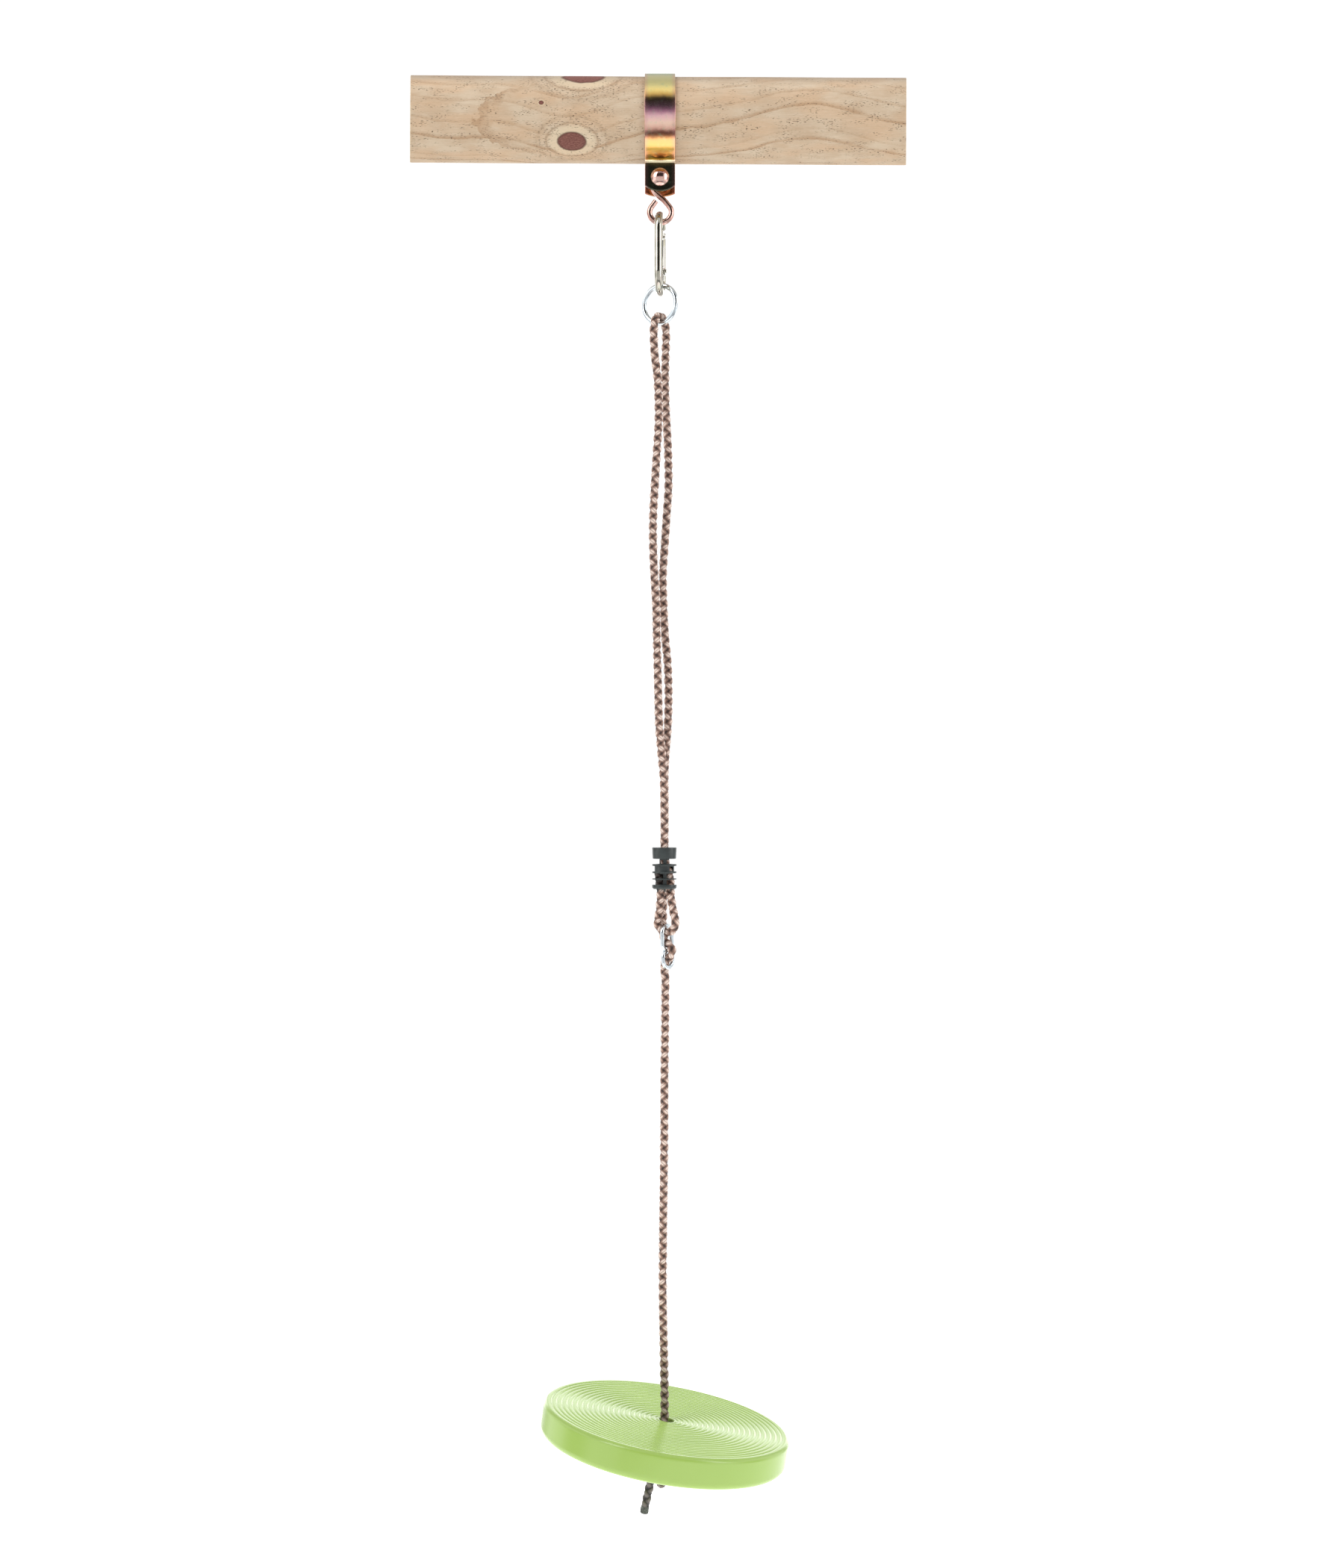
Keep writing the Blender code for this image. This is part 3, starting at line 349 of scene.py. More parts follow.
def frames_along(pts, closed=False):
    """Rotation-minimising frames: tangents, and two normals for each point."""
    pts = np.asarray(pts, float)
    n = len(pts)
    if closed:
        tangent = np.roll(pts, -1, 0) - np.roll(pts, 1, 0)
    else:
        tangent = np.gradient(pts, axis=0)
    tangent /= np.linalg.norm(tangent, axis=1)[:, None]
    normal = np.zeros_like(pts)
    first = np.cross(tangent[0], (0, 0, 1)) if abs(tangent[0][2]) < 0.9 else np.cross(tangent[0], (0, 1, 0))
    normal[0] = first / np.linalg.norm(first)
    for k in range(1, n):
        v1 = pts[k] - pts[k - 1]
        c1 = v1 @ v1
        rl = normal[k - 1] - (2 / c1) * (v1 @ normal[k - 1]) * v1
        tl = tangent[k - 1] - (2 / c1) * (v1 @ tangent[k - 1]) * v1
        v2 = tangent[k] - tl
        c2 = v2 @ v2
        normal[k] = rl if c2 < 1e-12 else rl - (2 / c2) * (v2 @ rl) * v2
        normal[k] -= tangent[k] * (normal[k] @ tangent[k])
        normal[k] /= np.linalg.norm(normal[k])
    side = np.cross(tangent, normal)
    if closed:  # share the leftover turn out along the loop
        c, s = normal[0] @ normal[-1], side[-1] @ normal[0]
        left = atan2(s, c)
        for k in range(n):
            a = left * k / n
            nk, sk = normal[k].copy(), side[k].copy()
            normal[k], side[k] = cos(a) * nk + sin(a) * sk, cos(a) * sk - sin(a) * nk
    return tangent, normal, side


def sweep(name, pts, radius, mat, sides=32, closed=False, ends="round", edge=0.8, profile=None):
    """A round bar along the points; ends are round-edged flat faces. profile(k, share) may scale the radius."""
    pts = np.asarray(pts, float)
    tangent, normal, side = frames_along(pts, closed)
    radii = np.full(len(pts), radius, float)
    if profile is not None:
        radii = np.array([radius * profile(k / (len(pts) - 1)) for k in range(len(pts))])
    rings, rads, tt, nn, ss = [], [], [], [], []
    order = list(range(len(pts)))
    for k in order:
        rings.append(pts[k]); rads.append(radii[k]); tt.append(tangent[k]); nn.append(normal[k]); ss.append(side[k])
    if not closed and edge > 0:
        extra_first, extra_last = [], []
        for j in range(5):
            a = pi / 2 * j / 4
            extra_first.append((pts[0] + tangent[0] * edge * (1 - sin(a)) - 0 * tangent[0], radii[0] - edge * (1 - cos(a))))
            extra_last.append((pts[-1] - tangent[-1] * edge * (1 - sin(a)), radii[-1] - edge * (1 - cos(a))))
        # a = 0 is where the rounding starts, a = 90 degrees the flat end
        keep = [k for k in order if np.linalg.norm(pts[k] - pts[0]) > edge * 1.05 and np.linalg.norm(pts[k] - pts[-1]) > edge * 1.05]
        rings = [p for p, r in reversed([(pts[0] + tangent[0] * edge * (1 - sin(pi / 2 * j / 4)), 0) for j in range(5)])]
        rads = [radii[0] - edge * (1 - cos(pi / 2 * j / 4)) for j in range(4, -1, -1)]
        tt, nn, ss = [tangent[0]] * 5, [normal[0]] * 5, [side[0]] * 5
        for k in keep:
            rings.append(pts[k]); rads.append(radii[k]); tt.append(tangent[k]); nn.append(normal[k]); ss.append(side[k])
        for j in range(5):
            a = pi / 2 * j / 4
            rings.append(pts[-1] - tangent[-1] * edge * (1 - sin(a)))
            rads.append(radii[-1] - edge * (1 - cos(a)))
            tt.append(tangent[-1]); nn.append(normal[-1]); ss.append(side[-1])
    rings, rads, nn, ss = np.array(rings), np.array(rads), np.array(nn), np.array(ss)
    angles = np.arange(sides) * 2 * pi / sides
    verts = rings[:, None, :] + rads[:, None, None] * (np.cos(angles)[None, :, None] * nn[:, None, :] + np.sin(angles)[None, :, None] * ss[:, None, :])
    n = len(rings)
    verts = verts.reshape(-1, 3)
    faces = []
    for k in range(n if closed else n - 1):
        a, b = k * sides, ((k + 1) % n) * sides
        for j in range(sides):
            i = (j + 1) % sides
            faces.append((a + j, a + i, b + i, b + j))
    if not closed:
        faces.append(tuple(range(sides - 1, -1, -1)))
        faces.append(tuple((n - 1) * sides + j for j in range(sides)))
    return mesh_from(name, verts, faces, mat, sharp=50)


def lathe(name, profile, mat, steps=96, closed=True, matrix=None, sharp=30.0, attributes=None):
    """(radius, z) points turned about Z. A closed profile is a ring; an open one starts and ends on the axis."""
    profile = np.asarray(profile, float)
    n = len(profile)
    angles = np.arange(steps) * 2 * pi / steps
    verts, index = [], []
    for k, (r, z) in enumerate(profile):
        if r < 1e-6:
            index.append([len(verts)] * steps)
            verts.append((0, 0, z))
        else:
            index.append(list(range(len(verts), len(verts) + steps)))
            verts += [(r * cos(a), r * sin(a), z) for a in angles]
    faces = []
    for k in range(n if closed else n - 1):
        a, b = index[k], index[(k + 1) % n]
        for j in range(steps):
            i = (j + 1) % steps
            face = []
            for v in (a[j], b[j], b[i], a[i]):
                if v not in face:
                    face.append(v)
            if len(face) > 2:
                faces.append(tuple(face))
    obj = mesh_from(name, verts, faces, mat)
    if matrix is not None:
        obj.data.transform(matrix)
    bm = bmesh.new()
    bm.from_mesh(obj.data)
    bmesh.ops.recalc_face_normals(bm, faces=bm.faces)
    bm.to_mesh(obj.data)
    bm.free()
    obj.data.shade_smooth()
    if sharp:
        obj.data.set_sharp_from_angle(angle=radians(sharp))
    return obj


def rounded(points, radius, count=4):
    """The (r, z) polyline with each inner corner rounded off."""
    out = [points[0]]
    for a, b, c in zip(points, points[1:], points[2:]):
        a, b, c = V(a), V(b), V(c)
        u, w = a - b, c - b
        lu, lw = np.linalg.norm(u), np.linalg.norm(w)
        cut = min(radius, lu * 0.45, lw * 0.45)
        if cut < 1e-6 or lu < 1e-9 or lw < 1e-9 or abs(np.cross(u / lu, w / lw)) < 0.05:
            out.append(tuple(b))
            continue
        p, q = b + u / lu * cut, b + w / lw * cut
        for k in range(count + 1):
            t = k / count
            out.append(tuple((1 - t) ** 2 * p + 2 * t * (1 - t) * b + t * t * q))
    out.append(points[-1])
    return out


def box_mesh(name, low, high, mat=None, matrix=None):
    bm = bmesh.new()
    bmesh.ops.create_cube(bm, size=1.0)
    for v in bm.verts:
        v.co = Vector([(a + b) / 2 + (b - a) * c for a, b, c in zip(low, high, v.co)]) * MM
    if matrix:
        bmesh.ops.transform(bm, matrix=matrix, verts=bm.verts)
    return bm_object(name, bm, mat)


def bar(name, r, low, high, axis="Z", centre=(0, 0, 0), mat=None, sides=48, r2=None):
    bm = bmesh.new()
    bmesh.ops.create_cone(bm, cap_ends=True, segments=sides, radius1=r * MM, radius2=(r if r2 is None else r2) * MM, depth=(high - low) * MM)
    bmesh.ops.translate(bm, verts=bm.verts, vec=(0, 0, (low + high) / 2 * MM))
    turn = {"Z": Matrix(), "X": Matrix.Rotation(pi / 2, 4, "Y"), "Y": Matrix.Rotation(-pi / 2, 4, "X")}[axis]
    bmesh.ops.transform(bm, matrix=Matrix.Translation(Vector(centre) * MM) @ turn, verts=bm.verts)
    return bm_object(name, bm, mat)


def baked(obj):
    bpy.context.view_layer.update()
    graph = bpy.context.evaluated_depsgraph_get()
    fresh = bpy.data.meshes.new_from_object(obj.evaluated_get(graph))
    obj.modifiers.clear()
    obj.data = fresh
    return obj


def boolean(obj, others, operation="DIFFERENCE"):
    for other in others if isinstance(others, (list, tuple)) else [others]:
        made = obj.modifiers.new("cut", "BOOLEAN")
        made.object, made.operation, made.solver = other, operation, "EXACT"
        baked(obj)
        mesh = other.data
        bpy.data.objects.remove(other, do_unlink=True)
        bpy.data.meshes.remove(mesh)
    return obj


def eased(obj, width, angle=35.0, segments=2):
    """Rounds the sharp edges off by a small width in mm."""
    bevel = obj.modifiers.new("ease", "BEVEL")
    bevel.width, bevel.segments = width * MM, segments
    bevel.limit_method, bevel.angle_limit = "ANGLE", radians(angle)
    bevel.use_clamp_overlap = True
    baked(obj)
    obj.data.shade_smooth()
    obj.data.set_sharp_from_angle(angle=radians(50))
    return obj


def placed(obj, body, *nodes, slot=None):
    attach(obj, body)
    if nodes:
        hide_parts(*nodes)
    return obj


# ================================================================ shared sizes, as in the CAD
GAP = 0.3
BEAM_R, BEAM_X = 48.0, (-286.0, 282.0)
STRAP_W, STRAP_T, EAR_GAP, EAR_BOTTOM, EAR_ROUND_R, BOLT_Z = 34.5, 3.0, 21.0, -84.1, (27.0, 45.0), -68.0
HEAD_D, HEAD_H, WASHER_D, NUT_AF, SLEEVE_D = 20.7, 5.0, 16.0, 13.0, 12.0
HOOK_WIRE, EYE_R, LOOP_C, LOOP_RX, LOOP_RZ = 6.4, 9.5, (0.6, -105.4), 12.45, 11.5
SNAP_WIRE, SNAP_HALF, SNAP_TOP, SNAP_BOTTOM, SNAP_TURN = 9.0, 20.5, -108.9, -196.7, radians(6.0)
GATE_D, GATE_PIVOT_Z, GATE_TOP_Z = 8.4, -168.0, -124.6
RING_WIRE, RING_R, RING_TURN = 5.6, 21.4, radians(32.4)
ROPE_D = 9.6
CLAMP_TOP, CLAMP_X, CLAMP_Y, CLAMP_W, CLAMP_DEPTH = -832.2, 5.0, -4.5, 27.6, 0.72
EIGHT_WIRE, EIGHT_W, EIGHT_TURN, EIGHT_LEAN = 4.6, 22.0, radians(52.0), radians(3.5)
EIGHT_TOP, EIGHT_UPPER_H, EIGHT_LOWER_H = (7.6, -1.0, -922.0), 28.4, 19.6
SEAT_D, SEAT_T, SEAT_C, SEAT_TILT, SEAT_HOLE_D, SEAT_WALL = 284.0, 35.0, (5.3, 0.0, -1502.6), radians(9.2), 17.0, 3.2
ROPE_X = 5.3


def catmull(points, step, fine_count=24):
    """Points a step apart along a centripetal Catmull-Rom curve."""
    pts = [V(p) for p in points]
    pts = [2 * pts[0] - pts[1]] + pts + [2 * pts[-1] - pts[-2]]
    fine = []
    for i in range(1, len(pts) - 2):
        p0, p1, p2, p3 = pts[i - 1 : i + 3]
        t0 = 0.0
        t1 = t0 + sqrt(np.linalg.norm(p1 - p0))
        t2 = t1 + sqrt(np.linalg.norm(p2 - p1))
        t3 = t2 + sqrt(np.linalg.norm(p3 - p2))
        for k in range(fine_count):
            t = t1 + (t2 - t1) * k / fine_count
            a1 = (t1 - t) / (t1 - t0) * p0 + (t - t0) / (t1 - t0) * p1
            a2 = (t2 - t) / (t2 - t1) * p1 + (t - t1) / (t2 - t1) * p2
            a3 = (t3 - t) / (t3 - t2) * p2 + (t - t2) / (t3 - t2) * p3
            b1 = (t2 - t) / (t2 - t0) * a1 + (t - t0) / (t2 - t0) * a2
            b2 = (t3 - t) / (t3 - t1) * a2 + (t - t1) / (t3 - t1) * a3
            fine.append((t2 - t) / (t2 - t1) * b1 + (t - t1) / (t2 - t1) * b2)
    fine.append(pts[-2])
    return resample(fine, step)


def resample(fine, step):
    fine = np.asarray(fine, float)
    run = np.concatenate([[0], np.cumsum(np.linalg.norm(np.diff(fine, axis=0), axis=1))])
    count = max(2, round(run[-1] / step))
    want = np.linspace(0, run[-1], count + 1)
    return np.stack([np.interp(want, run, fine[:, k]) for k in range(3)], axis=1)


def arc(centre, rx, rz, start, stop, count, y=0.0):
    return [
        (centre[0] + rx * cos(radians(start + (stop - start) * k / count)), y, centre[1] + rz * sin(radians(start + (stop - start) * k / count)))
        for k in range(count + 1)
    ]


# ================================================================ materials
def make_pine():
    m = Mat("pine")
    x, y, z = m.coords()
    theta = z.atan2(-y)  # 0 at the front, rising
    v = theta * BEAM_R
    near_end = x.step(BEAM_X[0] + 7.5, BEAM_X[0] + 7.0)
    knots = [(-99.5, -38.0, 15.9, 11.4, 1.0), (-86.8, 50.0, 23.5, 15.5, 1.0), (-133.5, 6.0, 2.7, 2.3, 0.45)]
    bend = m.noise(m.vec(x / 11.0, v / 11.0, 2.0), 1.0, 2.0)
    broad = m.noise(m.vec(x / 38.0, v / 17.0, 8.0), 1.0, 2.0)
    ragged = m.noise(m.vec(x / 4.0, v / 1.6, 5.5), 1.0, 2.0)
    core = rim = rings = pale = around = None
    for kx, kv, ka, kb, weight in knots:
        ex, ev = (x - kx) / ka, (v - kv) / kb
        d = (ex * ex + ev * ev).sqrt() + (bend - 0.5) * 0.22
        c = d.step(1.03, 0.96)
        edge = d.step(0.84, 0.97) * d.step(1.12, 1.02)
        off = (d - 1.86) / 0.085
        far = (d - 2.55) / 0.16
        ring = (off * off * -1.0).exp() * (0.35 + broad * 0.9) * weight + (far * far * -1.0).exp() * 0.35 * weight
        p = d.step(1.02, 1.12) * d.step(1.80, 1.50) * weight
        n = d.step(1.30, 1.75) * d.step(3.4, 2.1) * weight
        core = c if core is None else core.most(c)
        rim = edge if rim is None else rim.most(edge)
        rings = ring if rings is None else rings.most(ring)
        pale = p if pale is None else pale.most(p)
        around = n if around is None else around.most(n)

    def bell(at, width):
        t = (x - at) / width
        return (t * t * -1.0).exp()

    hill = bell(170.0, 84.0) * 27.0 - bell(-235.0, 52.0) * 10.0
    lift = bell(-104.0, 66.0) * 8.5
    q = (v - hill) * 0.30 + lift + (broad - 0.5) * 1.9 + (ragged - 0.5) * 0.55
    late = None
    for q0, width, strong in ((-31.0, 1.8, 0.7), (-18.3, 1.5, 1.0), (-14.8, 1.0, 0.35), (-7.2, 1.7, 1.0), (-1.5, 1.3, 0.55), (5.6, 1.6, 0.45),
                              (12.0, 1.7, 0.6), (21.0, 2.0, 0.6), (32.0, 2.0, 0.8), (42.0, 2.0, 0.8)):
        t = q - q0
        line = t.step(-0.30, 0.06) * t.step(width, 0.10) * strong
        late = line if late is None else late.most(line)
    # the tongue of grain that closes round the knots on the left
    tx, tv = (x + 96.0) / 112.0, (v + 12.0) / 47.0
    tongue = (tx * tx + tv * tv).sqrt() + (bend - 0.5) * 0.30 + (ragged - 0.5) * 0.05
    tongue = tongue.step(1.015, 0.985) * tongue.step(0.80, 0.97) * x.step(-120.0, -165.0)
    late = late.most(tongue * 0.95)
    late = late * m.noise(m.vec(x / 46.0, v / 20.0, 7.0), 1.0, 2.0).step(0.30, 0.62, 0.40, 1.0) * (1.0 - pale)
    fibre = m.noise(m.vec(x / 26.0, v / 0.50, y / 4.0), 1.0, 3.0, 0.6)
    fine = m.noise(m.vec(x / 7.0, v / 0.9, 3.0), 1.0, 2.0, 0.6)
    blotch = m.noise(m.vec(x / 34.0, v / 19.0, 1.0), 1.0, 3.0, 0.55)
    warm = m.noise(m.vec(x / 70.0, v / 24.0, 21.0), 1.0, 2.0)
    field = m.noise(m.vec(x / 3.0, v / 0.80, 5.0), 1.0, 0.0)
    patches = m.noise(m.vec(x / 26.0, v / 9.0, 11.0), 1.0, 2.0).step(0.46, 0.62)
    area = patches.most(around * 0.95).most(late * 0.8)
    flecks = field.step(0.64, 0.70) * area
    soft_flecks = m.noise(m.vec(x / 4.2, v / 0.75, 15.0), 1.0, 1.0).step(0.60, 0.74) * (area * 0.7 + 0.3)
    base = m.mix(blotch.step(0.30, 0.70), hexed("d3c0a7"), hexed("c5ac90"))
    base = m.mix(warm.step(0.42, 0.66) * 0.55, base, hexed("d3b08d"))
    base = m.mix(fibre.step(0.30, 0.80) * 0.42, base, hexed("b39a80"))
    base = m.mix(fine.step(0.45, 0.80) * 0.22, base, hexed("e2d4bc"))
    base = m.mix(late * 0.62, base, hexed("a9835f"))
    base = m.mix(pale * 0.50, base, hexed("e0ceb0"))
    base = m.mix((rings * 0.55).least(0.7), base, hexed("98795a"))
    base = m.mix(soft_flecks * 0.42, base, hexed("8f7458"))
    base = m.mix(flecks * 0.92, base, hexed("54432f"))
    # painted shade: the upper part of the beam is darkened towards its top
    top = (v - 42.0).step(-14.0, 12.0) * v.step(104.0, 74.0)
    base = m.mix(top * 0.50, base, hexed("7c6f62"))
    knot_rings = m.noise(m.vec(x / 2.6, v / 1.2, 3.0), 1.0, 2.0)
    heart = m.mix(knot_rings.step(0.3, 0.7), hexed("6a4038"), hexed("8a5a50"))
    base = m.mix(core, base, heart)
    base = m.mix(rim * 0.60, base, hexed("553a30"))
    # the sawn ends: the rings show as arcs round the pith
    slow = m.noise(m.vec(x / 90.0, y / 26.0, z / 26.0), 1.0, 2.0)
    r = ((y - 4.0) * (y - 4.0) + (z + 9.0) * (z + 9.0)).sqrt()
    end = m.noise(m.vec(x / 30.0, y / 1.2, z / 1.2), 1.0, 2.0)
    facing = m.g.nodes.new("ShaderNodeTexCoord")
    split = m.g.nodes.new("ShaderNodeSeparateXYZ")
    m.g.links.new(facing.outputs["Normal"], split.inputs[0])
    inside = S(m.g, split.outputs[0]).abs().step(0.70, 0.85)
    ring_end = ((r + (slow - 0.5) * 4.0) / 3.6).frac()
    end_colour = m.mix(ring_end.step(0.45, 0.92) * ring_end.step(1.0, 0.95) * 0.75, m.mix(end, hexed("d8c39c"), hexed("cbb186")), hexed("95704a"))
    end_colour = m.mix(r.step(3.2, 1.4), end_colour, hexed("6a4a32"))
    base = m.mix(inside, base, end_colour)
    height = (1.0 - late * 0.5) * 0.4 + fibre * 0.30 - flecks * 0.6
    normal = m.bump(height, 0.14, 0.7)
    return m.set(colour=base, rough=0.62 + (fibre - 0.5) * 0.22, normal=normal, specular=0.25)


def make_strap():
    """Yellow zinc: the tint along the band's run is part plating colour and part painted reflection (painted dark
    bands, a painted dark front ear and painted highlights at the bends), over fine rolling marks.
    """
    m = Mat("yellow_zinc_strap")
    x, y, z = m.coords()
    run, across, face = m.attr_vec("strap")
    cloud = m.noise(m.vec(x / 9.0, run / 14.0, 1.3), 1.0, 3.0, 0.55)
    cloud2 = m.noise(m.vec(x / 5.0, run / 5.0, 6.3), 1.0, 3.0, 0.6)
    painted_reflection_at = S(m.g, m.attribute("where").outputs["Fac"])
    t = painted_reflection_at + (cloud - 0.5) * 0.020
    # painted reflection: the ramp paints dark bands, the dark ear, gold and pink bands and bright highlights at the
    # bends into the colour, over the plating tint
    colour = m.ramp(t, [
        (0.000, hexed("5c5a4a")), (0.085, hexed("66654f")), (0.102, hexed("c8b070")), (0.115, hexed("fff0cc")), (0.130, hexed("e8c468")),
        (0.140, hexed("c8a052")), (0.156, hexed("cc9048")), (0.172, hexed("e0aa5c")), (0.186, hexed("ecb870")), (0.204, hexed("e8b274")),
        (0.212, hexed("b07850")), (0.224, hexed("8c584c")), (0.236, hexed("ecb8a4")), (0.252, hexed("ffdac4")), (0.272, hexed("fac6cc")),
        (0.286, hexed("d08cac")), (0.300, hexed("7e5a68")), (0.318, hexed("78644e")), (0.334, hexed("e8bc68")), (0.350, hexed("fbe08c")),
        (0.368, hexed("ece09c")), (0.392, hexed("d4cc94")), (0.415, hexed("d0c898")), (0.445, hexed("a8b890")), (0.480, hexed("c8bc84")),
        (0.560, hexed("e2b968")), (0.660, hexed("d99aa0")), (0.760, hexed("d8ac5c")), (0.860, hexed("c9973f")), (0.930, hexed("c98a4a")), (1.0, hexed("c07c4c")),
    ])
    edge = across.abs().step(11.5, 17.0)
    colour = m.mix(edge * 0.40, colour, hexed("d99c98"))
    colour = m.mix(cloud2.step(0.52, 0.78) * 0.30, colour, hexed("9fc7a2"))
    speck = m.noise(m.vec(x / 0.55, run / 0.55, 2.0), 1.0, 2.0)
    # painted glints: near-white specks over the band, thickest in the painted pink reflection band
    painted_glint_band = painted_reflection_at.step(0.225, 0.245) * painted_reflection_at.step(0.325, 0.300)
    colour = m.mix(speck.step(0.56, 0.70) * (painted_glint_band * 0.6 + 0.12), colour, hexed("f4e2d8"))
    brushed = m.noise(m.vec(x / 0.35, run / 9.0, 4.0), 1.0, 2.0)
    rough = 0.14 + cloud2 * 0.08 + brushed * 0.05 + painted_glint_band * 0.12
    normal = m.bump(speck * 0.6 + brushed * 0.4, 0.012, 0.4)
    return m.set(colour=colour, rough=rough, metal=1.0, normal=normal)


def make_metal(name, dark, light, tint, rough, scale=6.0, grain=0.4, wear=None):
    """A plated metal: slow clouds between two tones, a third in patches, fine grain in the gloss."""
    m = Mat(name)
    x, y, z = m.coords()
    cloud = m.noise(m.vec(x / scale, y / scale, z / scale), 1.0, 3.0, 0.55)
    patch = m.noise(m.vec(x / (scale * 0.5) + 7.0, y / (scale * 0.5), z / (scale * 0.5)), 1.0, 2.0)
    fine = m.noise(m.vec(x / grain, y / grain, z / grain), 1.0, 2.0)
    colour = m.mix(cloud.step(0.30, 0.70), hexed(dark), hexed(light))
    colour = m.mix(patch.step(0.50, 0.75) * 0.55, colour, hexed(tint))
    if wear:
        colour = m.mix(fine.step(0.62, 0.8) * 0.35, colour, hexed(wear))
    return m.set(colour=colour, rough=rough + (cloud - 0.5) * 0.08 + (fine - 0.5) * 0.03, metal=1.0, normal=m.bump(fine, 0.004, 0.25))


def make_rope():
    """Braided fibre: streaks along each strand, painted highlights on the crowns, painted shade in the gaps and between
    each strand's two yarns, and near-black painted shade on the stretch inside the clamp.
    """
    m = Mat("brown_rope")
    across, along, strand = m.attr_vec("fibre")
    crown, grey, shade = m.attr_vec("depth")
    streak = m.noise(m.vec(across / 0.16, along / 7.0, strand * 13.0), 1.0, 3.0, 0.6)
    yarn = m.noise(m.vec(across / 0.75, along / 26.0, strand * 7.0), 1.0, 2.0)
    patch = m.noise(m.vec(along / 9.0, strand * 5.0, 0.4), 1.0, 2.0)
    tone = m.noise(m.vec(strand * 3.1, along / 60.0, 6.0), 1.0, 1.0)
    body = m.mix(yarn.step(0.30, 0.70), hexed("846257"), hexed("a6806e"))
    body = m.mix(streak.step(0.35, 0.75) * 0.60, body, hexed("cbab99"))
    body = m.mix(patch.step(0.5, 0.8) * 0.40, body, hexed("7a5a4c"))
    body = m.mix(tone.step(0.35, 0.65) * 0.25, body, hexed("6e5044"))
    # painted highlight on the crowns of the strands
    painted_crown_highlight = crown.step(0.85, 0.98)
    body = m.mix(painted_crown_highlight * (0.62 + streak * 0.5), body, hexed("f4dfd2"))
    # painted shade in the gaps between the crowns
    body = m.mix(crown.step(0.89, 0.66), body, hexed("3a2822"))
    # painted shade: the line down the middle of each strand, between its two yarns, is darkened
    split = across.abs().step(0.55, 0.20)  # each strand is two yarns side by side
    body = m.mix(split * 0.62, body, hexed("4a342b"))
    grey_body = m.mix(streak.step(0.3, 0.75), hexed("39332f"), hexed("6e6562"))
    # the grey rope near the seat gets the same painted crown highlight and painted shade in the gaps
    grey_body = m.mix(painted_crown_highlight * 0.4, grey_body, hexed("948a88"))
    grey_body = m.mix(crown.step(0.90, 0.68), grey_body, hexed("1c1819"))
    colour = m.mix(grey, body, grey_body)
    colour = m.mix(shade, colour, hexed("0d0b0b"))
    height = streak * 0.65 + yarn * 0.35
    return m.set(colour=colour, rough=0.50 + (streak - 0.5) * 0.2, specular=0.45, normal=m.bump(height, 0.12, 0.9))


def make_seal():
    m = Mat("sealed_rope_end")
    x, y, z = m.coords()
    melt = m.noise(m.vec(x / 2.0, y / 2.0, z / 2.0), 1.0, 3.0)
    streak = m.noise(m.vec(x / 0.5, y / 0.5, z / 4.0), 1.0, 2.0)
    colour = m.mix(melt.step(0.35, 0.7), hexed("3c3e3a"), hexed("5e625c"))
    colour = m.mix(streak.step(0.55, 0.75) * 0.5, colour, hexed("353733"))
    return m.set(colour=colour, rough=0.42 + melt * 0.15, specular=0.45, normal=m.bump(melt * 0.6 + streak * 0.4, 0.3, 0.7))


def make_black():
    m = Mat("black_plastic")
    x, y, z = m.coords()
    grain = m.noise(m.vec(x / 0.35, y / 0.35, z / 0.35), 1.0, 2.0)
    cloud = m.noise(m.vec(x / 8.0, y / 8.0, z / 8.0), 1.0, 2.0)
    colour = m.mix(cloud.step(0.3, 0.7), hexed("2b3131"), hexed("363d3d"))
    colour = m.mix(grain.step(0.6, 0.8) * 0.3, colour, hexed("454c4b"))
    return m.set(colour=colour, rough=0.32 + (grain - 0.5) * 0.10, specular=0.5, normal=m.bump(grain, 0.02, 0.3))


def make_lime():
    m = Mat("lime_plastic")
    x, y, z = m.coords()
    radius, height_in, _ = m.attr_vec("seat")
    cloud = m.noise(m.vec(x / 60.0, y / 60.0, z / 60.0), 1.0, 2.0)
    grain = m.noise(m.vec(x / 0.7, y / 0.7, z / 0.7), 1.0, 2.0)
    scuff = m.noise(m.vec(x / 3.0, y / 26.0, z / 10.0), 1.0, 3.0, 0.65)
    colour = m.mix(cloud.step(0.3, 0.7), hexed("a2c064"), hexed("a9c66c"))
    # painted shade: the side wall, past radius 136 mm, is a little darker than the top
    colour = m.mix(radius.step(136.0, 141.0), colour, hexed("9ab85a"))
    colour = m.mix(scuff.step(0.62, 0.85) * 0.12, colour, hexed("bdd386"))
    normal = m.bump(grain, 0.003, 0.15)
    return m.set(colour=colour, rough=0.17 + (cloud - 0.5) * 0.05 + (scuff - 0.5) * 0.06 + (grain - 0.5) * 0.02, specular=0.50, normal=normal)


def make_nylon():
    m = Mat("nylon")
    x, y, z = m.coords()
    cloud = m.noise(m.vec(x / 4.0, y / 4.0, z / 4.0), 1.0, 2.0)
    colour = m.mix(cloud, hexed("d6d2c4"), hexed("e6e2d6"))
    return m.set(colour=colour, rough=0.45 + (cloud - 0.5) * 0.1, specular=0.4, normal=m.bump(cloud, 0.05, 0.4))


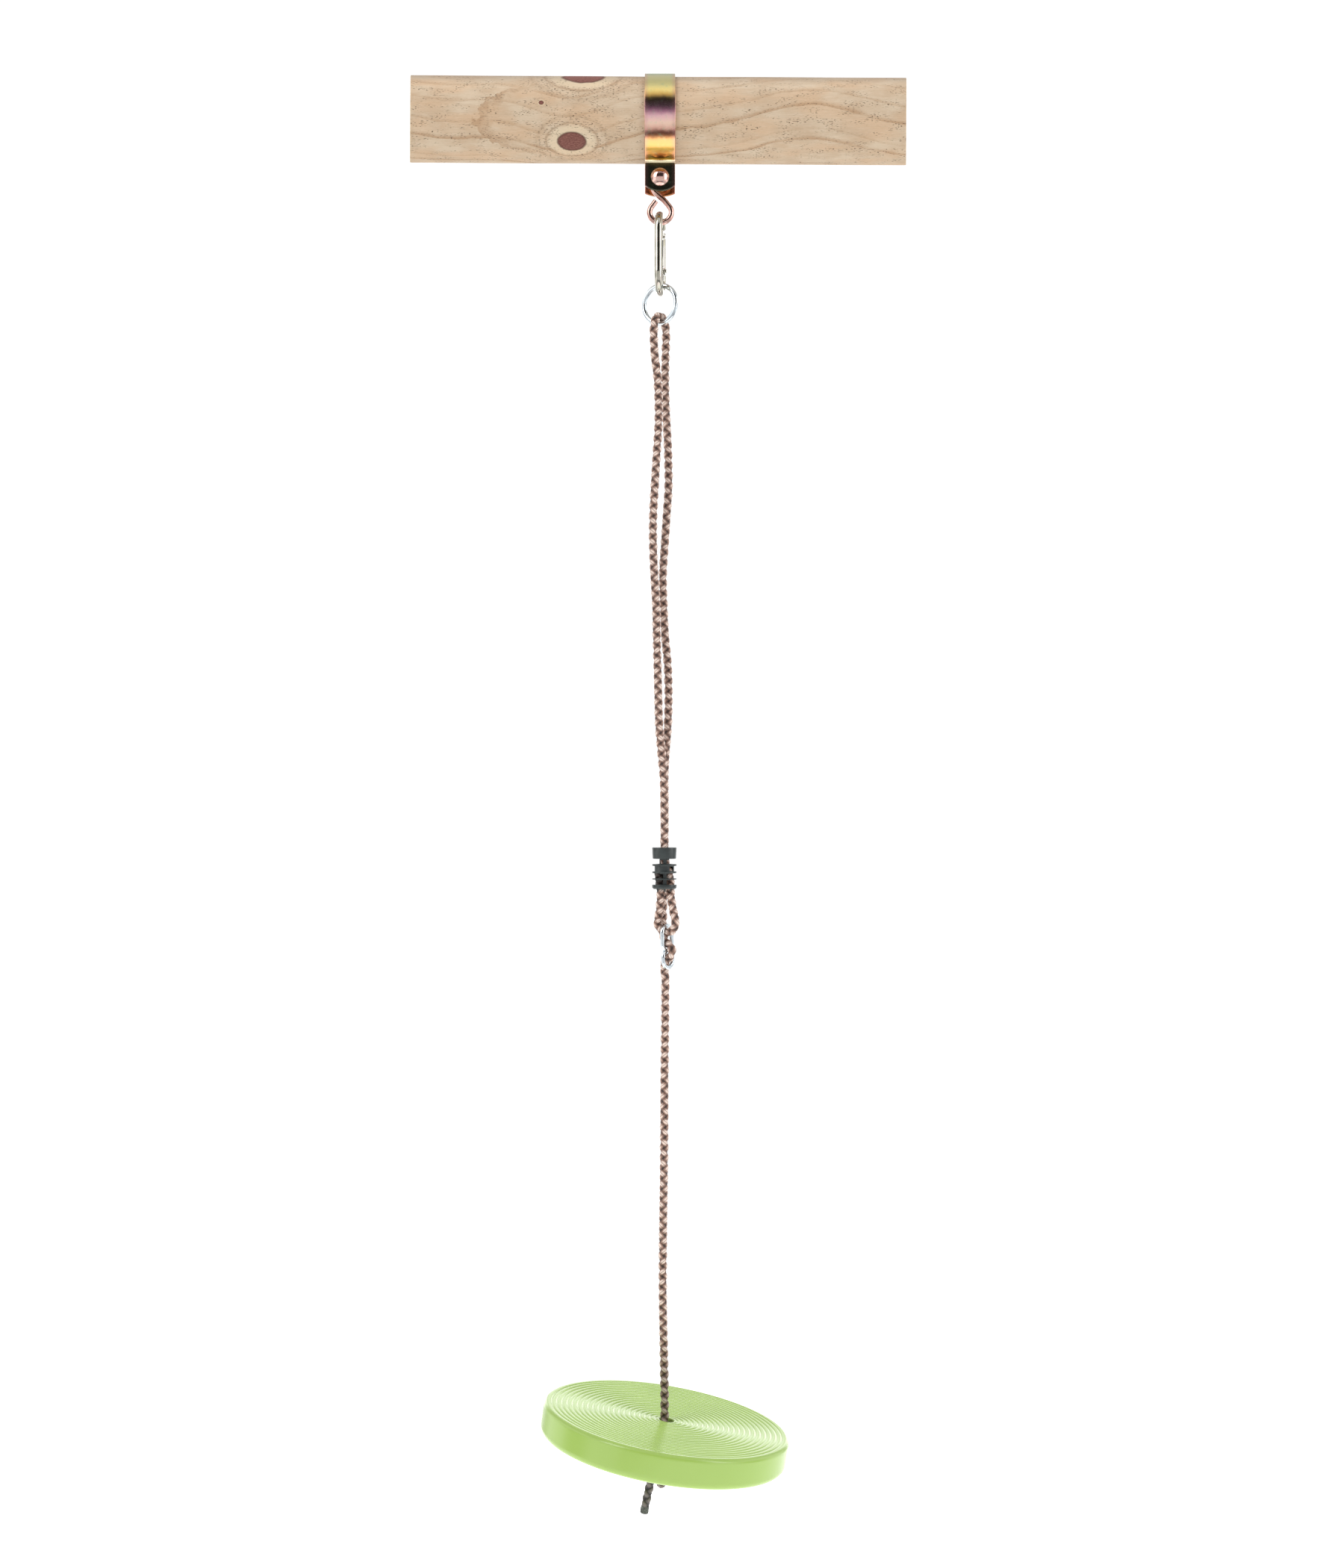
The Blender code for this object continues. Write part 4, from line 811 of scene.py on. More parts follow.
PINE = make_pine()
STRAP = make_strap()
BOLT = make_metal("yellow_zinc_bolt", "d8a49c", "ecccc0", "e0b088", 0.12, 6.0, 0.5)
NUTS = make_metal("yellow_zinc_nut", "b98b3c", "d8b262", "a8b470", 0.22, 5.0, 0.5, "8a6a34")
HOOK = make_metal("copper_zinc", "bc9084", "dcbab0", "a87868", 0.14, 9.0, 0.5)
NICKEL = make_metal("nickel", "a4a294", "c6c2b6", "b8a49c", 0.10, 12.0, 0.6)
ZINC = make_metal("zinc", "c3ccd2", "dde4e8", "b4c0c8", 0.15, 8.0, 0.6)
SPRING = make_metal("spring_steel", "8f8f8f", "b0b0b0", "9a9fa4", 0.28, 3.0, 0.4)
NYLON = make_nylon()
ROPE = make_rope()
SEAL = make_seal()
BLACK = make_black()
LIME = make_lime()


# ================================================================ beam
def make_beam():
    low, high = BEAM_X
    profile = [(0.0, low), (BEAM_R - 0.9, low), (BEAM_R - 0.25, low + 0.25), (BEAM_R, low + 0.9)]
    count = 90
    profile += [(BEAM_R, low + 0.9 + (high - low - 1.8) * k / count) for k in range(1, count)]
    profile += [(BEAM_R, high - 0.9), (BEAM_R - 0.25, high - 0.25), (BEAM_R - 0.9, high), (0.0, high)]
    obj = lathe("beam_wood", profile, PINE, 160, closed=False, matrix=Matrix.Diagonal((MM / MM, 1, 1, 1)))
    for vert in obj.data.vertices:  # the turned bar's surface is a little uneven, and its axis is X
        a, b, c = vert.co
        wave = 1 + 0.0022 * sin(c * 23.0 + 1.0) * sin(3 * atan2(b, a) + c * 9.0) + 0.0012 * sin(5 * atan2(b, a) - c * 31.0)
        end = 5.6 * MM * (1.0 if c > 0 else -1.0) * (b / (BEAM_R * MM)) * max(0.0, (abs(c) - 0.20) / 0.086)
        if abs(c) > 0.20:
            c += end
        vert.co = (c, b * wave, -a * wave)
    obj.data.transform(Matrix.Rotation(radians(0.30), 4, "Y"))
    obj.data.update()
    bm = bmesh.new()
    bm.from_mesh(obj.data)
    bmesh.ops.recalc_face_normals(bm, faces=bm.faces)
    bm.to_mesh(obj.data)
    bm.free()
    return placed(obj, "mounting", "beam", slot="pine")


make_beam()

# ================================================================ strap
half_gap = EAR_GAP / 2
band_r = BEAM_R + GAP + 0.2
mid_r = band_r + STRAP_T / 2
ear_y = half_gap + STRAP_T / 2


def make_strap_mesh():
    bend_r = 5.0
    bend_y = ear_y + bend_r
    bend_z = -sqrt((mid_r + bend_r) ** 2 - bend_y**2)
    leave = atan2(bend_z, bend_y)
    towards = atan2(-bend_z, -bend_y)
    line = []
    for k in range(1, 10):
        a = pi + (towards - pi) * k / 9
        line.append((bend_y + bend_r * cos(a), bend_z + bend_r * sin(a)))
    count = 150
    for k in range(1, count):
        a = leave + (pi - 2 * leave) * k / count
        line.append((mid_r * cos(a), mid_r * sin(a)))
    line += [(-y, z) for y, z in reversed(line[:9])]
    line = line[::-1]  # from the front (-Y) over the top to the back
    ear_top = bend_z
    ear_rows = 26
    # cross-section: a rounded rectangle, (across, off)
    half_w, half_t, r = STRAP_W / 2, STRAP_T / 2, 0.55
    section = []
    for k in range(25):
        section.append((-(half_w - r) + 2 * (half_w - r) * k / 24, half_t))
    for k in range(1, 6):
        a = pi / 2 - pi / 2 * k / 5
        section.append((half_w - r + r * cos(a), half_t - r + r * sin(a)))
    for k in range(1, 6):
        a = -pi / 2 * k / 5
        section.append((half_w - r + r * cos(a), -(half_t - r) + r * sin(a)))
    for k in range(1, 25):
        section.append(((half_w - r) - 2 * (half_w - r) * k / 24, -half_t))
    for k in range(1, 6):
        a = -pi / 2 - pi / 2 * k / 5
        section.append((-(half_w - r) + r * cos(a), -(half_t - r) + r * sin(a)))
    for k in range(1, 5):
        a = pi - pi / 2 * k / 5
        section.append((-(half_w - r) + r * cos(a), half_t - r + r * sin(a)))
    n = len(section)
    verts, info, rows, where = [], [], [], []

    def end_z(across, side):
        r = EAR_ROUND_R[side > 0]
        return EAR_BOTTOM + r - sqrt(r**2 - min(abs(across), r - 0.1) ** 2)

    # the place along the run picks each row's painted reflection band and tint
    def add_row(points, run, painted_reflection_at):
        rows.append(len(verts))
        verts.extend(points)
        info.extend([(run, s[0], s[1]) for s in section])
        where.extend([painted_reflection_at] * n)

    ear_len = ear_top - EAR_BOTTOM
    steps = [0.0, 0.12, 0.3, 0.6] + [0.6 + (ear_len - 0.6) * k / (ear_rows - 1) for k in range(1, ear_rows)]
    for side in (-1, 1):
        ear = []
        for d in steps:
            ease = max(0.0, min(1.0, d / 0.6))
            shrink = (0.5 - sqrt(max(0.0, 0.25 - (0.5 - 0.5 * ease) ** 2))) * 2 * 0.55
            pts = []
            for across, off in section:
                zb = end_z(across, side)
                z = zb + (ear_top - zb) * (d / ear_len)
                o = off * (1 - shrink / half_t)
                a = across * (1 - 0.0 * shrink)
                pts.append((a, side * (ear_y + o), z))
            ear.append((pts, d))
        if side < 0:
            for pts, d in ear:
                add_row(pts, d, 0.10 * d / ear_len)
            run = ear_len
            last = (-ear_y, ear_top)
            for y, z in line:
                run += sqrt((y - last[0]) ** 2 + (z - last[1]) ** 2)
                last = (y, z)
                i = len(rows)
                a = (180 - degrees(atan2(z, y)) + 360) % 360  # 0 at the front, 90 on top
                a = a - 360 if a > 268 else a
                on_round = abs(sqrt(y * y + z * z) - mid_r) < 0.01
                add_row([(0, 0, 0)] * n, run, 0.13 + (a + 72.6) / 325.2 * 0.74 if on_round else (0.115 if y < 0 else 0.885))
                verts[rows[-1] : rows[-1] + n] = [None] * n
            runs_total = run
        else:
            for pts, d in reversed(ear):
                add_row(pts, runs_total + (ear_len - d), 1.0 - 0.10 * d / ear_len)
    full = [(-ear_y, ear_top)] + line + [(ear_y, ear_top)]
    first = len(steps)
    for j, (y, z) in enumerate(line):
        a, b = full[j], full[j + 2]
        dy, dz = b[0] - a[0], b[1] - a[1]
        length = sqrt(dy * dy + dz * dz)
        ny, nz = -dz / length, dy / length  # outwards
        start = rows[first + j]
        for i, (across, off) in enumerate(section):
            verts[start + i] = (across, y + ny * off, z + nz * off)
    faces = []
    for a, b in zip(rows, rows[1:]):
        for i in range(n):
            j = (i + 1) % n
            faces.append((a + i, a + j, b + j, b + i))
    faces.append(tuple(rows[0] + i for i in range(n - 1, -1, -1)))
    faces.append(tuple(rows[-1] + i for i in range(n)))
    obj = mesh_from("strap_band", verts, faces, STRAP, {"strap": np.array(info), "where": np.array(where)})
    bm = bmesh.new()
    bm.from_mesh(obj.data)
    bmesh.ops.recalc_face_normals(bm, faces=bm.faces)
    bm.to_mesh(obj.data)
    bm.free()
    obj.data.shade_smooth()
    obj.data.set_sharp_from_angle(angle=radians(60))
    return placed(obj, "mounting", "clamp_strap", slot="yellow_zinc")


make_strap_mesh()

# ================================================================ bolt, washer, nut, sleeve, spacers
ear_out = half_gap + STRAP_T


def make_bolt():
    dome_r = ((HEAD_D / 2) ** 2 + HEAD_H**2) / (2 * HEAD_H)
    top = acos(1 - HEAD_H / dome_r)
    profile = [(0.0, HEAD_H)]
    for k in range(1, 25):
        a = top * k / 24
        profile.append((dome_r * sin(a), HEAD_H - dome_r * (1 - cos(a))))
    profile += [(HEAD_D / 2 + 0.02, -0.25), (HEAD_D / 2 - 0.15, -0.7), (HEAD_D / 2 - 0.5, -0.9), (4.2, -0.9)]
    # the shank with its thread: turned grooves close enough to a helix, seen only past the nut
    length = 2 * ear_out + 1.6 + 8.0 + 4.0 + 0.9
    z = -0.9
    profile += [(3.95, -1.2)]
    thread_from = -(length - 20.0)
    profile += [(3.95, thread_from)]
    z = thread_from
    while z - 1.25 > -(length - 1.2):
        profile += [(3.95, z - 0.12), (3.35, z - 0.55), (3.35, z - 0.70), (3.95, z - 1.13)]
        z -= 1.25
    profile += [(3.5, -(length - 0.5)), (3.0, -length), (0.0, -length)]
    matrix = Matrix.Translation(Vector((0, -(ear_out + GAP + 0.9), BOLT_Z)) * MM) @ Matrix.Rotation(pi / 2, 4, "X")
    obj = lathe("carriage_bolt_head", profile, BOLT, 72, closed=False, matrix=matrix, sharp=40)
    return placed(obj, "mounting", "carriage_bolt", slot="yellow_zinc")


make_bolt()
washer = lathe(
    "washer_disc",
    rounded([(4.25, 0.0), (WASHER_D / 2, 0.0), (WASHER_D / 2, 1.6), (4.25, 1.6)], 0.2, 3),
    NUTS, 72,
    matrix=Matrix.Translation(Vector((0, ear_out + GAP, BOLT_Z)) * MM) @ Matrix.Rotation(-pi / 2, 4, "X"),
)
placed(washer, "mounting", "back_washer", slot="yellow_zinc")

nut_low = ear_out + GAP + 1.6 + GAP


def make_nut():
    hexagon = bar("nut_hex", NUT_AF / 2 / cos(pi / 6), nut_low, nut_low + 6.4, "Y", (0, 0, BOLT_Z), NUTS, sides=6)
    cone = bar("nut_cone", NUT_AF / 2 / cos(pi / 6) + 1.9, nut_low + 0.0, nut_low + 6.4, "Y", (0, 0, BOLT_Z), None, 64, r2=NUT_AF / 2 - 0.1 + 0.35)
    cone2 = bar("nut_cone2", NUT_AF / 2 + 0.15, nut_low, nut_low + 6.4, "Y", (0, 0, BOLT_Z), None, 64, r2=NUT_AF / 2 / cos(pi / 6) + 4.0)
    boolean(hexagon, [cone, cone2], "INTERSECT")
    collar = lathe(
        "nut_collar",
        rounded([(4.3, 6.0), (5.9, 6.0), (5.9, 7.0), (5.2, 8.0), (4.3, 8.0)], 0.35, 3),
        NUTS, 48,
        matrix=Matrix.Translation(Vector((0, nut_low, BOLT_Z)) * MM) @ Matrix.Rotation(-pi / 2, 4, "X"),
    )
    boolean(hexagon, [bar("nut_hole", 4.25, 0, 60, "Y", (0, 0, BOLT_Z))])
    boolean(hexagon, [collar], "UNION")
    hexagon.name = "lock_nut_hex"
    eased(hexagon, 0.15, 25)
    return placed(hexagon, "mounting", "lock_nut", slot="yellow_zinc")


make_nut()
sleeve = lathe(
    "sleeve_tube",
    rounded([(4.3, -half_gap + GAP), (SLEEVE_D / 2, -half_gap + GAP), (SLEEVE_D / 2, half_gap - GAP), (4.3, half_gap - GAP)], 0.3, 3),
    SPRING, 64, matrix=Matrix.Translation(Vector((0, 0, BOLT_Z)) * MM) @ Matrix.Rotation(-pi / 2, 4, "X"),
)
placed(sleeve, "mounting", "swivel_sleeve", slot="spring_steel")
for name, side in (("front_spacer", -1), ("back_spacer", 1)):
    lo, hi = HOOK_WIRE / 2 + GAP, half_gap - GAP
    spacer = lathe(
        name + "_ring",
        rounded([(SLEEVE_D / 2 + GAP, lo), (9.6, lo), (9.6, hi), (SLEEVE_D / 2 + GAP, hi)], 0.4, 3),
        NYLON, 64, matrix=Matrix.Translation(Vector((0, 0, BOLT_Z)) * MM) @ Matrix.Rotation(-pi / 2 * side, 4, "X"),
    )
    placed(spacer, "mounting", name, slot="nylon")

# ================================================================ hook
eye = arc((0, BOLT_Z), EYE_R, EYE_R, -82, 188, 22)
cross = [(-8.6, 0, -75.6), (-6.2, 0, -81.2), (-1.0, 0, -86.6), (4.6, 0, -91.4)]
loop = arc(LOOP_C, LOOP_RX, LOOP_RZ, 38, -232, 26)
tip = [(-4.6, 0, -92.2)]
hook = sweep("hook_wire", catmull(eye + cross + loop[:-1] + tip, 0.9), HOOK_WIRE / 2, HOOK, 36, edge=0.7)
placed(hook, "hook", "swing_hook", slot="copper_zinc")

# ================================================================ snap hook
snap_turn = Matrix.Translation(Vector((0.3, 0, 0)) * MM) @ Matrix.Rotation(-SNAP_TURN, 4, "Z")
top_c, bottom_c = SNAP_TOP - SNAP_HALF, SNAP_BOTTOM + SNAP_HALF


def make_snap():
    path = []
    for k in range(41):
        a = radians(24 + (180 - 24) * k / 40)
        path.append((0, SNAP_HALF * cos(a), top_c + SNAP_HALF * sin(a)))
    for k in range(1, 14):
        path.append((0, -SNAP_HALF, top_c + (bottom_c - top_c) * k / 14))
    for k in range(49):
        a = radians(180 + 180 * k / 48)
        path.append((0, SNAP_HALF * cos(a), bottom_c + SNAP_HALF * sin(a)))
    path.append((0, SNAP_HALF, GATE_PIVOT_Z - 5.4))
    obj = sweep("snap_hook_bar", path, SNAP_WIRE / 2, NICKEL, 48, edge=1.0)
    boolean(obj, [
        box_mesh("nose", (-1.6, 16.9, -130.6), (1.6, 20.6, -119.0)),
        bar("nose_pin", 1.5, -3.7, 3.7, "X", (0, 19.0, -128.9), sides=24),
        bar("tongue", 3.9, -1.7, 1.7, "X", (0, SNAP_HALF, GATE_PIVOT_Z), sides=40),
        box_mesh("tongue_root", (-1.69, SNAP_HALF - 3.6, GATE_PIVOT_Z - 9), (1.69, SNAP_HALF + 3.6, GATE_PIVOT_Z)),
    ], "UNION")
    eased(obj, 0.22, 45)
    obj.data.transform(snap_turn)
    return placed(obj, "snap_hook", "snap_hook_body", slot="nickel")


def make_gate():
    profile = rounded([(0.0, GATE_PIVOT_Z), (GATE_D / 2, GATE_PIVOT_Z), (GATE_D / 2, GATE_TOP_Z), (0.0, GATE_TOP_Z)], 0.8, 4)
    gate = lathe("snap_gate_bar", profile, NICKEL, 48, closed=False, matrix=Matrix.Translation(Vector((0, SNAP_HALF, 0)) * MM))
    foot = bar("gate_foot", GATE_D / 2 - 0.02, -GATE_D / 2 + 0.4, GATE_D / 2 - 0.4, "X", (0, SNAP_HALF, GATE_PIVOT_Z), sides=48)
    boolean(gate, [foot], "UNION")
    boolean(gate, [
        box_mesh("fork", (-2.1, 0, GATE_PIVOT_Z - 9), (2.1, 40, GATE_PIVOT_Z + 5.0)),
        box_mesh("nose_slot", (-2.0, 0, -132.6), (2.0, 40, -110)),
        box_mesh("notch", (-6, 16.9, -131.3), (6, 40, -126.5)),
    ])
    eased(gate, 0.2, 40)
    gate.data.transform(snap_turn)
    placed(gate, "gate", "snap_gate", slot="nickel")
    end = GATE_D / 2 + GAP
    rivet_profile = rounded([(0.0, -end - 0.8), (2.4, -end - 0.8), (2.4, -end), (1.5, -end), (1.5, end), (2.4, end), (2.4, end + 0.8), (0.0, end + 0.8)], 0.35, 4)
    rivet = lathe("gate_rivet_pin", rivet_profile, NICKEL, 40, closed=False,
                  matrix=snap_turn @ Matrix.Translation(Vector((0, SNAP_HALF, GATE_PIVOT_Z)) * MM) @ Matrix.Rotation(pi / 2, 4, "Y"))
    placed(rivet, "snap_hook", "gate_rivet", slot="nickel")


make_snap()
make_gate()
turns, coil_r, coil_low, coil_high = 6, 1.25, GATE_PIVOT_Z + 10.2, GATE_PIVOT_Z + 23.2
coil = [
    (coil_r * cos(2 * pi * k / 24), SNAP_HALF + coil_r * sin(2 * pi * k / 24), coil_low + (coil_high - coil_low) * k / (turns * 24))
    for k in range(turns * 24 + 1)
]
spring = sweep("gate_spring_coil", coil, 0.3, SPRING, 10, edge=0.0)
spring.data.transform(snap_turn)
placed(spring, "gate", "gate_spring", slot="spring_steel")
plunger = lathe("gate_plunger_pin", rounded([(0.0, GATE_PIVOT_Z + 4.3), (1.5, GATE_PIVOT_Z + 4.3), (1.5, GATE_PIVOT_Z + 9.5), (0.0, GATE_PIVOT_Z + 9.5)], 0.3, 3),
                SPRING, 32, closed=False, matrix=snap_turn @ Matrix.Translation(Vector((0, SNAP_HALF, 0)) * MM))
placed(plunger, "gate", "gate_plunger", slot="spring_steel")

# ================================================================ ring
ring_z = SNAP_BOTTOM + SNAP_WIRE / 2 + GAP + RING_WIRE / 2 - RING_R
ring_pts = [(RING_R * cos(2 * pi * k / 160), 0, RING_R * sin(2 * pi * k / 160)) for k in range(160)]
ring = sweep("ring_wire", ring_pts, RING_WIRE / 2, ZINC, 32, closed=True)
for vert in ring.data.vertices:  # the butt weld, a low uneven bead on the back left
    a = atan2(vert.co.z, vert.co.x) - radians(205)
    swell = exp(-((a / 0.035) ** 2)) * 0.07
    core = Vector((cos(a + radians(205)), 0, sin(a + radians(205)))) * RING_R * MM
    vert.co = core + (vert.co - core) * (1 + swell)
ring.data.transform(Matrix.Translation(Vector((0, 0, ring_z)) * MM) @ Matrix.Rotation(-RING_TURN, 4, "Z"))
placed(ring, "ring", "top_ring", slot="zinc")

# ================================================================ eight-shaped ring
eight_side = V((cos(EIGHT_TURN), sin(EIGHT_TURN), 0))
eight_face = V((sin(EIGHT_TURN), -cos(EIGHT_TURN), 0))
eight_half = (EIGHT_W - EIGHT_WIRE) / 2


def on_eight(s, down, off=0.0):
    s, down = s * cos(EIGHT_LEAN) + down * sin(EIGHT_LEAN), down * cos(EIGHT_LEAN) - s * sin(EIGHT_LEAN)
    return tuple(V(EIGHT_TOP) + eight_side * s + eight_face * off + V((0, 0, -down)))


def oval(top, height, half, count):
    straight = height - 2 * half
    out = []
    for k in range(count + 1):
        a = pi * k / count
        d = top + half * (1 - cos(a))
        if a > pi / 2 and straight > 0:
            d += straight
        if abs(a - pi / 2) < 1e-6 and straight > 0:
            out.append((half, d))
            for j in range(1, 5):
                out.append((half, d + straight * j / 4))
            continue
        out.append((half * sin(a), d))
    back = [(-s, d) for s, d in reversed(out[1:-1])]
    return [on_eight(s, d) for s, d in out + back]


eight = sweep("eight_wire", oval(0, EIGHT_UPPER_H, eight_half, 32), EIGHT_WIRE / 2, ZINC, 28, closed=True)
lower_eye = sweep("eight_wire_low", oval(EIGHT_UPPER_H, EIGHT_LOWER_H, eight_half, 32), EIGHT_WIRE / 2, None, 28, closed=True)
boolean(eight, [lower_eye], "UNION")
eight.data.shade_smooth()
eight.data.set_sharp_from_angle(angle=radians(60))
placed(eight, "eight", "eight_ring", slot="zinc")

# ================================================================ length adjuster
def make_clamp():
    w = CLAMP_W / 2
    profile = [
        (0.0, 0.0), (w - 0.1, 0.0), (w + 0.2, -0.5), (w - 0.35, -12.4), (w - 0.9, -12.9), (9.2, -12.9), (9.2, -18.9), (w + 0.1, -19.0), (w + 0.1, -21.0),
        (11.3, -21.2), (11.3, -27.2), (w + 0.1, -27.4), (w + 0.1, -29.3), (9.0, -29.4), (9.0, -35.2), (w + 0.1, -35.3), (w + 0.1, -36.5), (9.0, -36.6),
        (9.0, -42.4), (w + 0.2, -42.6), (w + 0.2, -45.8), (w - 1.4, -47.4), (0.0, -47.4),
    ]
    squash = Matrix.Translation(Vector((CLAMP_X, CLAMP_Y, CLAMP_TOP)) * MM) @ Matrix.Diagonal((1, CLAMP_DEPTH, 1, 1))
    clamp = lathe("adjuster_body", rounded(profile, 0.32, 2), BLACK, 88, closed=False, matrix=squash)
    cuts = [bar("entry", ROPE_D / 2 + 0.5, -14, 5, "Z", (CLAMP_X, CLAMP_Y, CLAMP_TOP), sides=40)]
    bm = bmesh.new()
    outline = []
    for k in range(17):
        a = -pi / 2 + pi * k / 16
        outline.append((5.6 + 5.2 * cos(a) if True else 0, 5.3 * sin(a)))
    outline += [(-x, y) for x, y in reversed(outline)]
    low, high = CLAMP_TOP - 52.0, CLAMP_TOP - 12.0
    bottom = [bm.verts.new(Vector((CLAMP_X + x * 0.92, CLAMP_Y + y, low)) * MM) for x, y in outline]
    top = [bm.verts.new(Vector((CLAMP_X + x * 0.92, CLAMP_Y + y, high)) * MM) for x, y in outline]
    bm.faces.new(bottom[::-1])
    bm.faces.new(top)
    for i in range(len(outline)):
        j = (i + 1) % len(outline)
        bm.faces.new((bottom[i], bottom[j], top[j], top[i]))
    cuts.append(bm_object("cavity", bm, None, None))
    for n, (lo, hi) in enumerate([(-18.4, -14.2), (-35.0, -30.2), (-42.2, -37.0)]):
        for side in (-1, 1):
            x0, x1 = ((-7.0, -1.3) if side < 0 else (2.6, 8.2))
            cuts.append(box_mesh(f"window_{n}_{side}", (CLAMP_X + x0, CLAMP_Y - 20, CLAMP_TOP + lo), (CLAMP_X + x1, CLAMP_Y - (4.4 if side < 0 else 1.0), CLAMP_TOP + hi)))
    cuts.append(box_mesh("window_block", (CLAMP_X + 5.8, CLAMP_Y - 20, CLAMP_TOP - 26.6), (CLAMP_X + 9.9, CLAMP_Y - 1.0, CLAMP_TOP - 21.8)))
    boolean(clamp, cuts)
    pegs = []
    for x in (-7.6, 0.4, 7.4):
        for y in (-6.9, 6.9):
            pegs.append(box_mesh(f"peg_{x}_{y}", (CLAMP_X + x - 0.85, CLAMP_Y + y - 0.55, CLAMP_TOP - 50.3), (CLAMP_X + x + 0.85, CLAMP_Y + y + 0.55, CLAMP_TOP - 46.8)))
    boolean(clamp, pegs, "UNION")
    eased(clamp, 0.14, 50)
    return placed(clamp, "adjuster", "rope_clamp", slot="black_plastic")


make_clamp()

# ================================================================ the rope's route, as in the CAD
across_ring = V((sin(RING_TURN), cos(RING_TURN), 0))
ring_low = ring_z - RING_R
crest = ring_low + RING_WIRE / 2 + GAP + ROPE_D / 2
ARCH = [(-12.9, -16.0), (-11.4, -9.6), (-8.6, -4.4), (-4.7, -1.2), (0, 0), (4.7, -1.2), (8.6, -4.4), (11.4, -9.6), (12.9, -16.0)]
arch_path = [tuple(across_ring * s + V((0, 0, crest + z))) for s, z in ARCH]
STRANDS = [
    (-267.0, -6.3, 6.4, 10.6, 10.4), (-297.0, -2.9, 6.0, 10.0, 10.0), (-328.0, -1.6, 6.8, 9.6, 9.8), (-349.0, -1.7, 7.9, 9.2, 9.6),
    (-384.0, -3.8, 9.4, 8.6, 9.0), (-419.0, -6.0, 9.8, 8.0, 8.4), (-454.0, -7.8, 7.5, 7.6, 8.0), (-486.0, -7.8, 5.3, 7.4, 7.8),
    (-521.0, -6.5, 3.2, 7.2, 7.6), (-556.0, -4.5, 4.2, 6.8, 7.4), (-591.0, -3.8, 5.9, 6.4, 7.2), (-623.0, -2.8, 8.8, 6.2, 7.0),
    (-658.0, -2.0, 9.8, 6.0, 6.8), (-693.0, -1.0, 9.0, 5.8, 6.8), (-728.0, 2.0, 6.3, 5.4, 7.0), (-754.0, 4.4, 5.2, 5.2, 7.4),
    (-786.0, 5.1, 5.3, 5.0, 8.0), (-812.0, 5.2, 5.3, 4.7, 8.7),
]
clamp_low = CLAMP_TOP - 48.0
back_y = CLAMP_Y + CLAMP_W / 2 * CLAMP_DEPTH + GAP + ROPE_D / 2 + 0.3
under = EIGHT_WIRE / 2 + GAP + ROPE_D / 2
eye_path = [
    (CLAMP_X - 6.8, CLAMP_Y, CLAMP_TOP - 24.5), (CLAMP_X - 6.3, CLAMP_Y, CLAMP_TOP - 34), (CLAMP_X - 4.8, CLAMP_Y, clamp_low + 2),
    (CLAMP_X - 4.2, CLAMP_Y + 0.3, clamp_low - 5.0), (CLAMP_X - 4.8, CLAMP_Y + 2.0, clamp_low - 16.0), (CLAMP_X - 6.0, CLAMP_Y + 4.2, clamp_low - 28.0),
    on_eight(-3.4, -6.0, -10.0), on_eight(-3.0, 0.2, -9.6), on_eight(-1.8, 5.4, -6.8), on_eight(-0.4, under + 0.3, 0.0),
    on_eight(-0.2, 5.2, 7.6), on_eight(0.0, 0.2, 11.8), on_eight(0.2, -8.0, 12.6),
    (CLAMP_X + 10.5, CLAMP_Y - 1.2, clamp_low - 26.0), (CLAMP_X + 8.2, CLAMP_Y - 0.6, clamp_low - 13.0), (CLAMP_X + 7.1, CLAMP_Y, clamp_low - 3.0),
    (CLAMP_X + 6.8, CLAMP_Y, clamp_low + 6), (CLAMP_X + 6.4, CLAMP_Y, CLAMP_TOP - 33.0), (CLAMP_X + 3.4, CLAMP_Y, CLAMP_TOP - 24.0),
    (CLAMP_X + 0.6, CLAMP_Y, CLAMP_TOP - 15.5), (CLAMP_X, CLAMP_Y, CLAMP_TOP - 8.0), (CLAMP_X, CLAMP_Y, CLAMP_TOP + 2.0),
]
pass_path = [
    (5.2, back_y, CLAMP_TOP + 2), (5.2, back_y, CLAMP_TOP - 16), (4.9, back_y, clamp_low + 12), (4.3, back_y + 0.3, clamp_low - 4.0),
    (3.6, back_y + 1.4, clamp_low - 18.0), (3.4, back_y + 2.8, clamp_low - 32.0),
    on_eight(8.4, 4.0, -11.4), on_eight(6.4, 11.4, -9.9), on_eight(2.0, 17.0, -5.4), on_eight(-0.6, 20.2, 0.0), on_eight(-1.8, 23.2, 5.6),
    on_eight(-2.2, EIGHT_UPPER_H, under + 0.9), on_eight(-1.6, EIGHT_UPPER_H + 5.2, 5.5), on_eight(-0.3, EIGHT_UPPER_H + 9.9, 0.0),
    on_eight(1.6, EIGHT_UPPER_H + 14.2, -5.4), on_eight(3.8, EIGHT_UPPER_H + 20.4, -8.6),
]
KNOT_TOP = -1520.9
LOWER = [
    (6.2, -984.0), (6.0, -998.0), (5.9, -1030.0), (5.4, -1076.0), (4.9, -1136.0), (4.6, -1200.0), (3.6, -1265.0), (3.2, -1325.0),
    (3.6, -1372.0), (4.4, -1410.0), (5.0, -1440.0), (ROPE_X, -1462.0), (ROPE_X, -1485.0), (ROPE_X, KNOT_TOP + GAP),
]
lower_path = []
for lx, lz in LOWER:
    fade = max(0.0, min(1.0, (lz + 1060.0) / 76.0))
    lower_path.append((lx, 6.4 * fade * fade * (3 - 2 * fade), lz))
